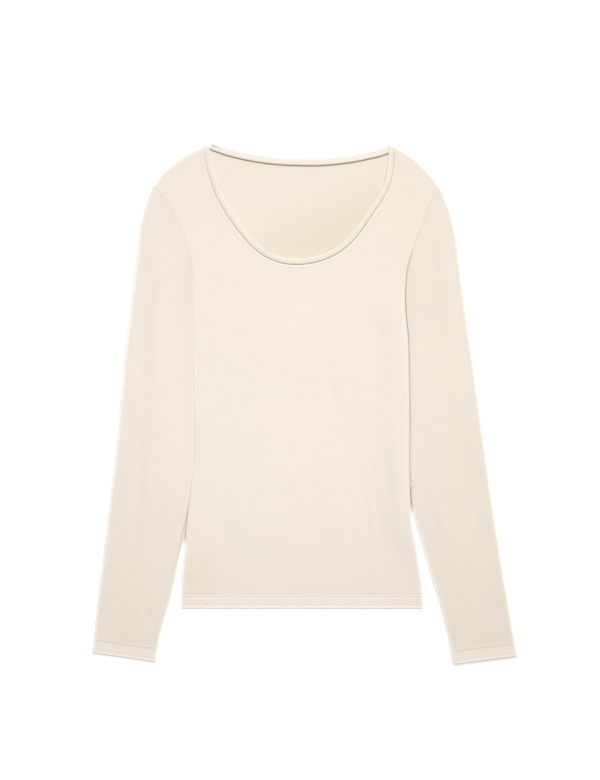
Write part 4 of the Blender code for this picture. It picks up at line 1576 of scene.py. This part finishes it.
class THERMALTOP_OT_stitches(bpy.types.Operator):
    """Sew the hem and the cuffs"""

    bl_idname = "thermal_top.stitches"
    bl_label = "Hem and cuff stitches"

    def execute(self, context):
        """Set two rows of stitches round each turned-up edge."""
        top = context.scene.thermal_top
        hem, cuff = stitch_rows(top.sewing)
        material = thread_material("thread", tuple(top.cloth.thread))
        pieces = bpy.data.objects
        hems = (("front", True, "jersey"), ("back", False, "jersey_inside"))
        for part, from_above, slot_name in hems:
            paths = [(hem_path(row), from_above) for row in hem]
            piece = pieces[part + "_panel_cloth"]
            make_stitches("hem_stitches_" + part, piece, paths, top.sewing, material)
        for side in ("left", "right"):
            paths = [(cuff_path(side, row), above) for row in cuff for above in (True, False)]
            piece = pieces["sleeve_" + side + "_cloth"]
            make_stitches("cuff_stitches_" + side, piece, paths, top.sewing, material)
        return {"FINISHED"}


class THERMALTOP_OT_stage(bpy.types.Operator):
    """Set the floor, the lights and the camera"""

    bl_idname = "thermal_top.stage"
    bl_label = "Floor, lights and camera"

    def execute(self, context):
        """Look straight down on the top from above its middle."""
        scene = context.scene
        sizes = scene.thermal_top.stage
        mesh = bpy.data.meshes.new("floor")
        bm = bmesh.new()
        drop = Matrix.Translation((0, 0, -FLOOR_DROP * MM))
        bmesh.ops.create_grid(bm, x_segments=1, y_segments=1, size=FLOOR_SIZE, matrix=drop)
        bm.to_mesh(mesh)
        bm.free()
        settings = {"Base Color": (*sizes.floor, 1.0), "Emission Strength": sizes.glow}
        mesh.materials.append(new_material("floor", FLOOR_SHADER | settings)[0])
        floor = bpy.data.objects.new("floor", mesh)
        scene.collection.objects.link(floor)

        for name, place, size, tint in LIGHTS:
            lamp = bpy.data.lights.new(name, "AREA")
            lamp.color = tint
            lamp.shape = "DISK"
            lamp.size = size
            lamp.energy = getattr(sizes, name)
            light = bpy.data.objects.new(name, lamp)
            light.location = place
            light.rotation_mode = "QUATERNION"
            light.rotation_quaternion = Vector(place).to_track_quat("Z", "Y")
            light.visible_camera = False
            scene.collection.objects.link(light)

        world = bpy.data.worlds.new("surround")
        world.use_nodes = True
        background = world.node_tree.nodes["Background"]
        background.inputs["Color"].default_value = SURROUND_TINT
        background.inputs["Strength"].default_value = sizes.surround
        scene.world = world
        scene.view_settings.view_transform = "Standard"

        lens = bpy.data.cameras.new("camera")
        lens.lens = sizes.focal
        lens.sensor_width = SENSOR
        lens.clip_start = 0.05
        lens.clip_end = 100.0
        camera = bpy.data.objects.new("camera", lens)
        camera.location = (*(np.array(VIEW_CENTRE) * MM), sizes.field * sizes.focal / SENSOR)
        scene.collection.objects.link(camera)
        scene.camera = camera
        return {"FINISHED"}


class THERMALTOP_PT_pieces(bpy.types.Panel):
    """Lists the steps and their sizes"""

    bl_idname = "THERMALTOP_PT_pieces"
    bl_label = "Thermal Top"
    bl_space_type = "VIEW_3D"
    bl_region_type = "UI"
    bl_category = "Thermal Top"

    def draw(self, context):
        """Show a button for each step, with the sizes below."""
        top = context.scene.thermal_top
        for operator in OPERATORS:
            self.layout.operator(operator.bl_idname)
        for group in (top.sewing, top.cloth, top.stage):
            box = self.layout.box()
            for name in group.bl_rna.properties.keys():
                if name not in ("rna_type", "name"):
                    box.prop(group, name)


OPERATORS = (
    THERMALTOP_OT_back,
    THERMALTOP_OT_front,
    THERMALTOP_OT_sleeves,
    THERMALTOP_OT_binding,
    THERMALTOP_OT_stitches,
    THERMALTOP_OT_stage,
)
CLASSES = (TopSewing, TopCloth, TopStage, ThermalTop, *OPERATORS, THERMALTOP_PT_pieces)


def register():
    """Add the classes and the settings."""
    for item in CLASSES:
        bpy.utils.register_class(item)
    bpy.types.Scene.thermal_top = PointerProperty(type=ThermalTop)


def unregister():
    """Take them away again."""
    del bpy.types.Scene.thermal_top
    for item in reversed(CLASSES):
        bpy.utils.unregister_class(item)


def main():
    """Build everything."""
    register()
    for operator in OPERATORS:
        getattr(bpy.ops.thermal_top, operator.bl_idname.split(".")[1])()


if __name__ == "__main__":
    main()
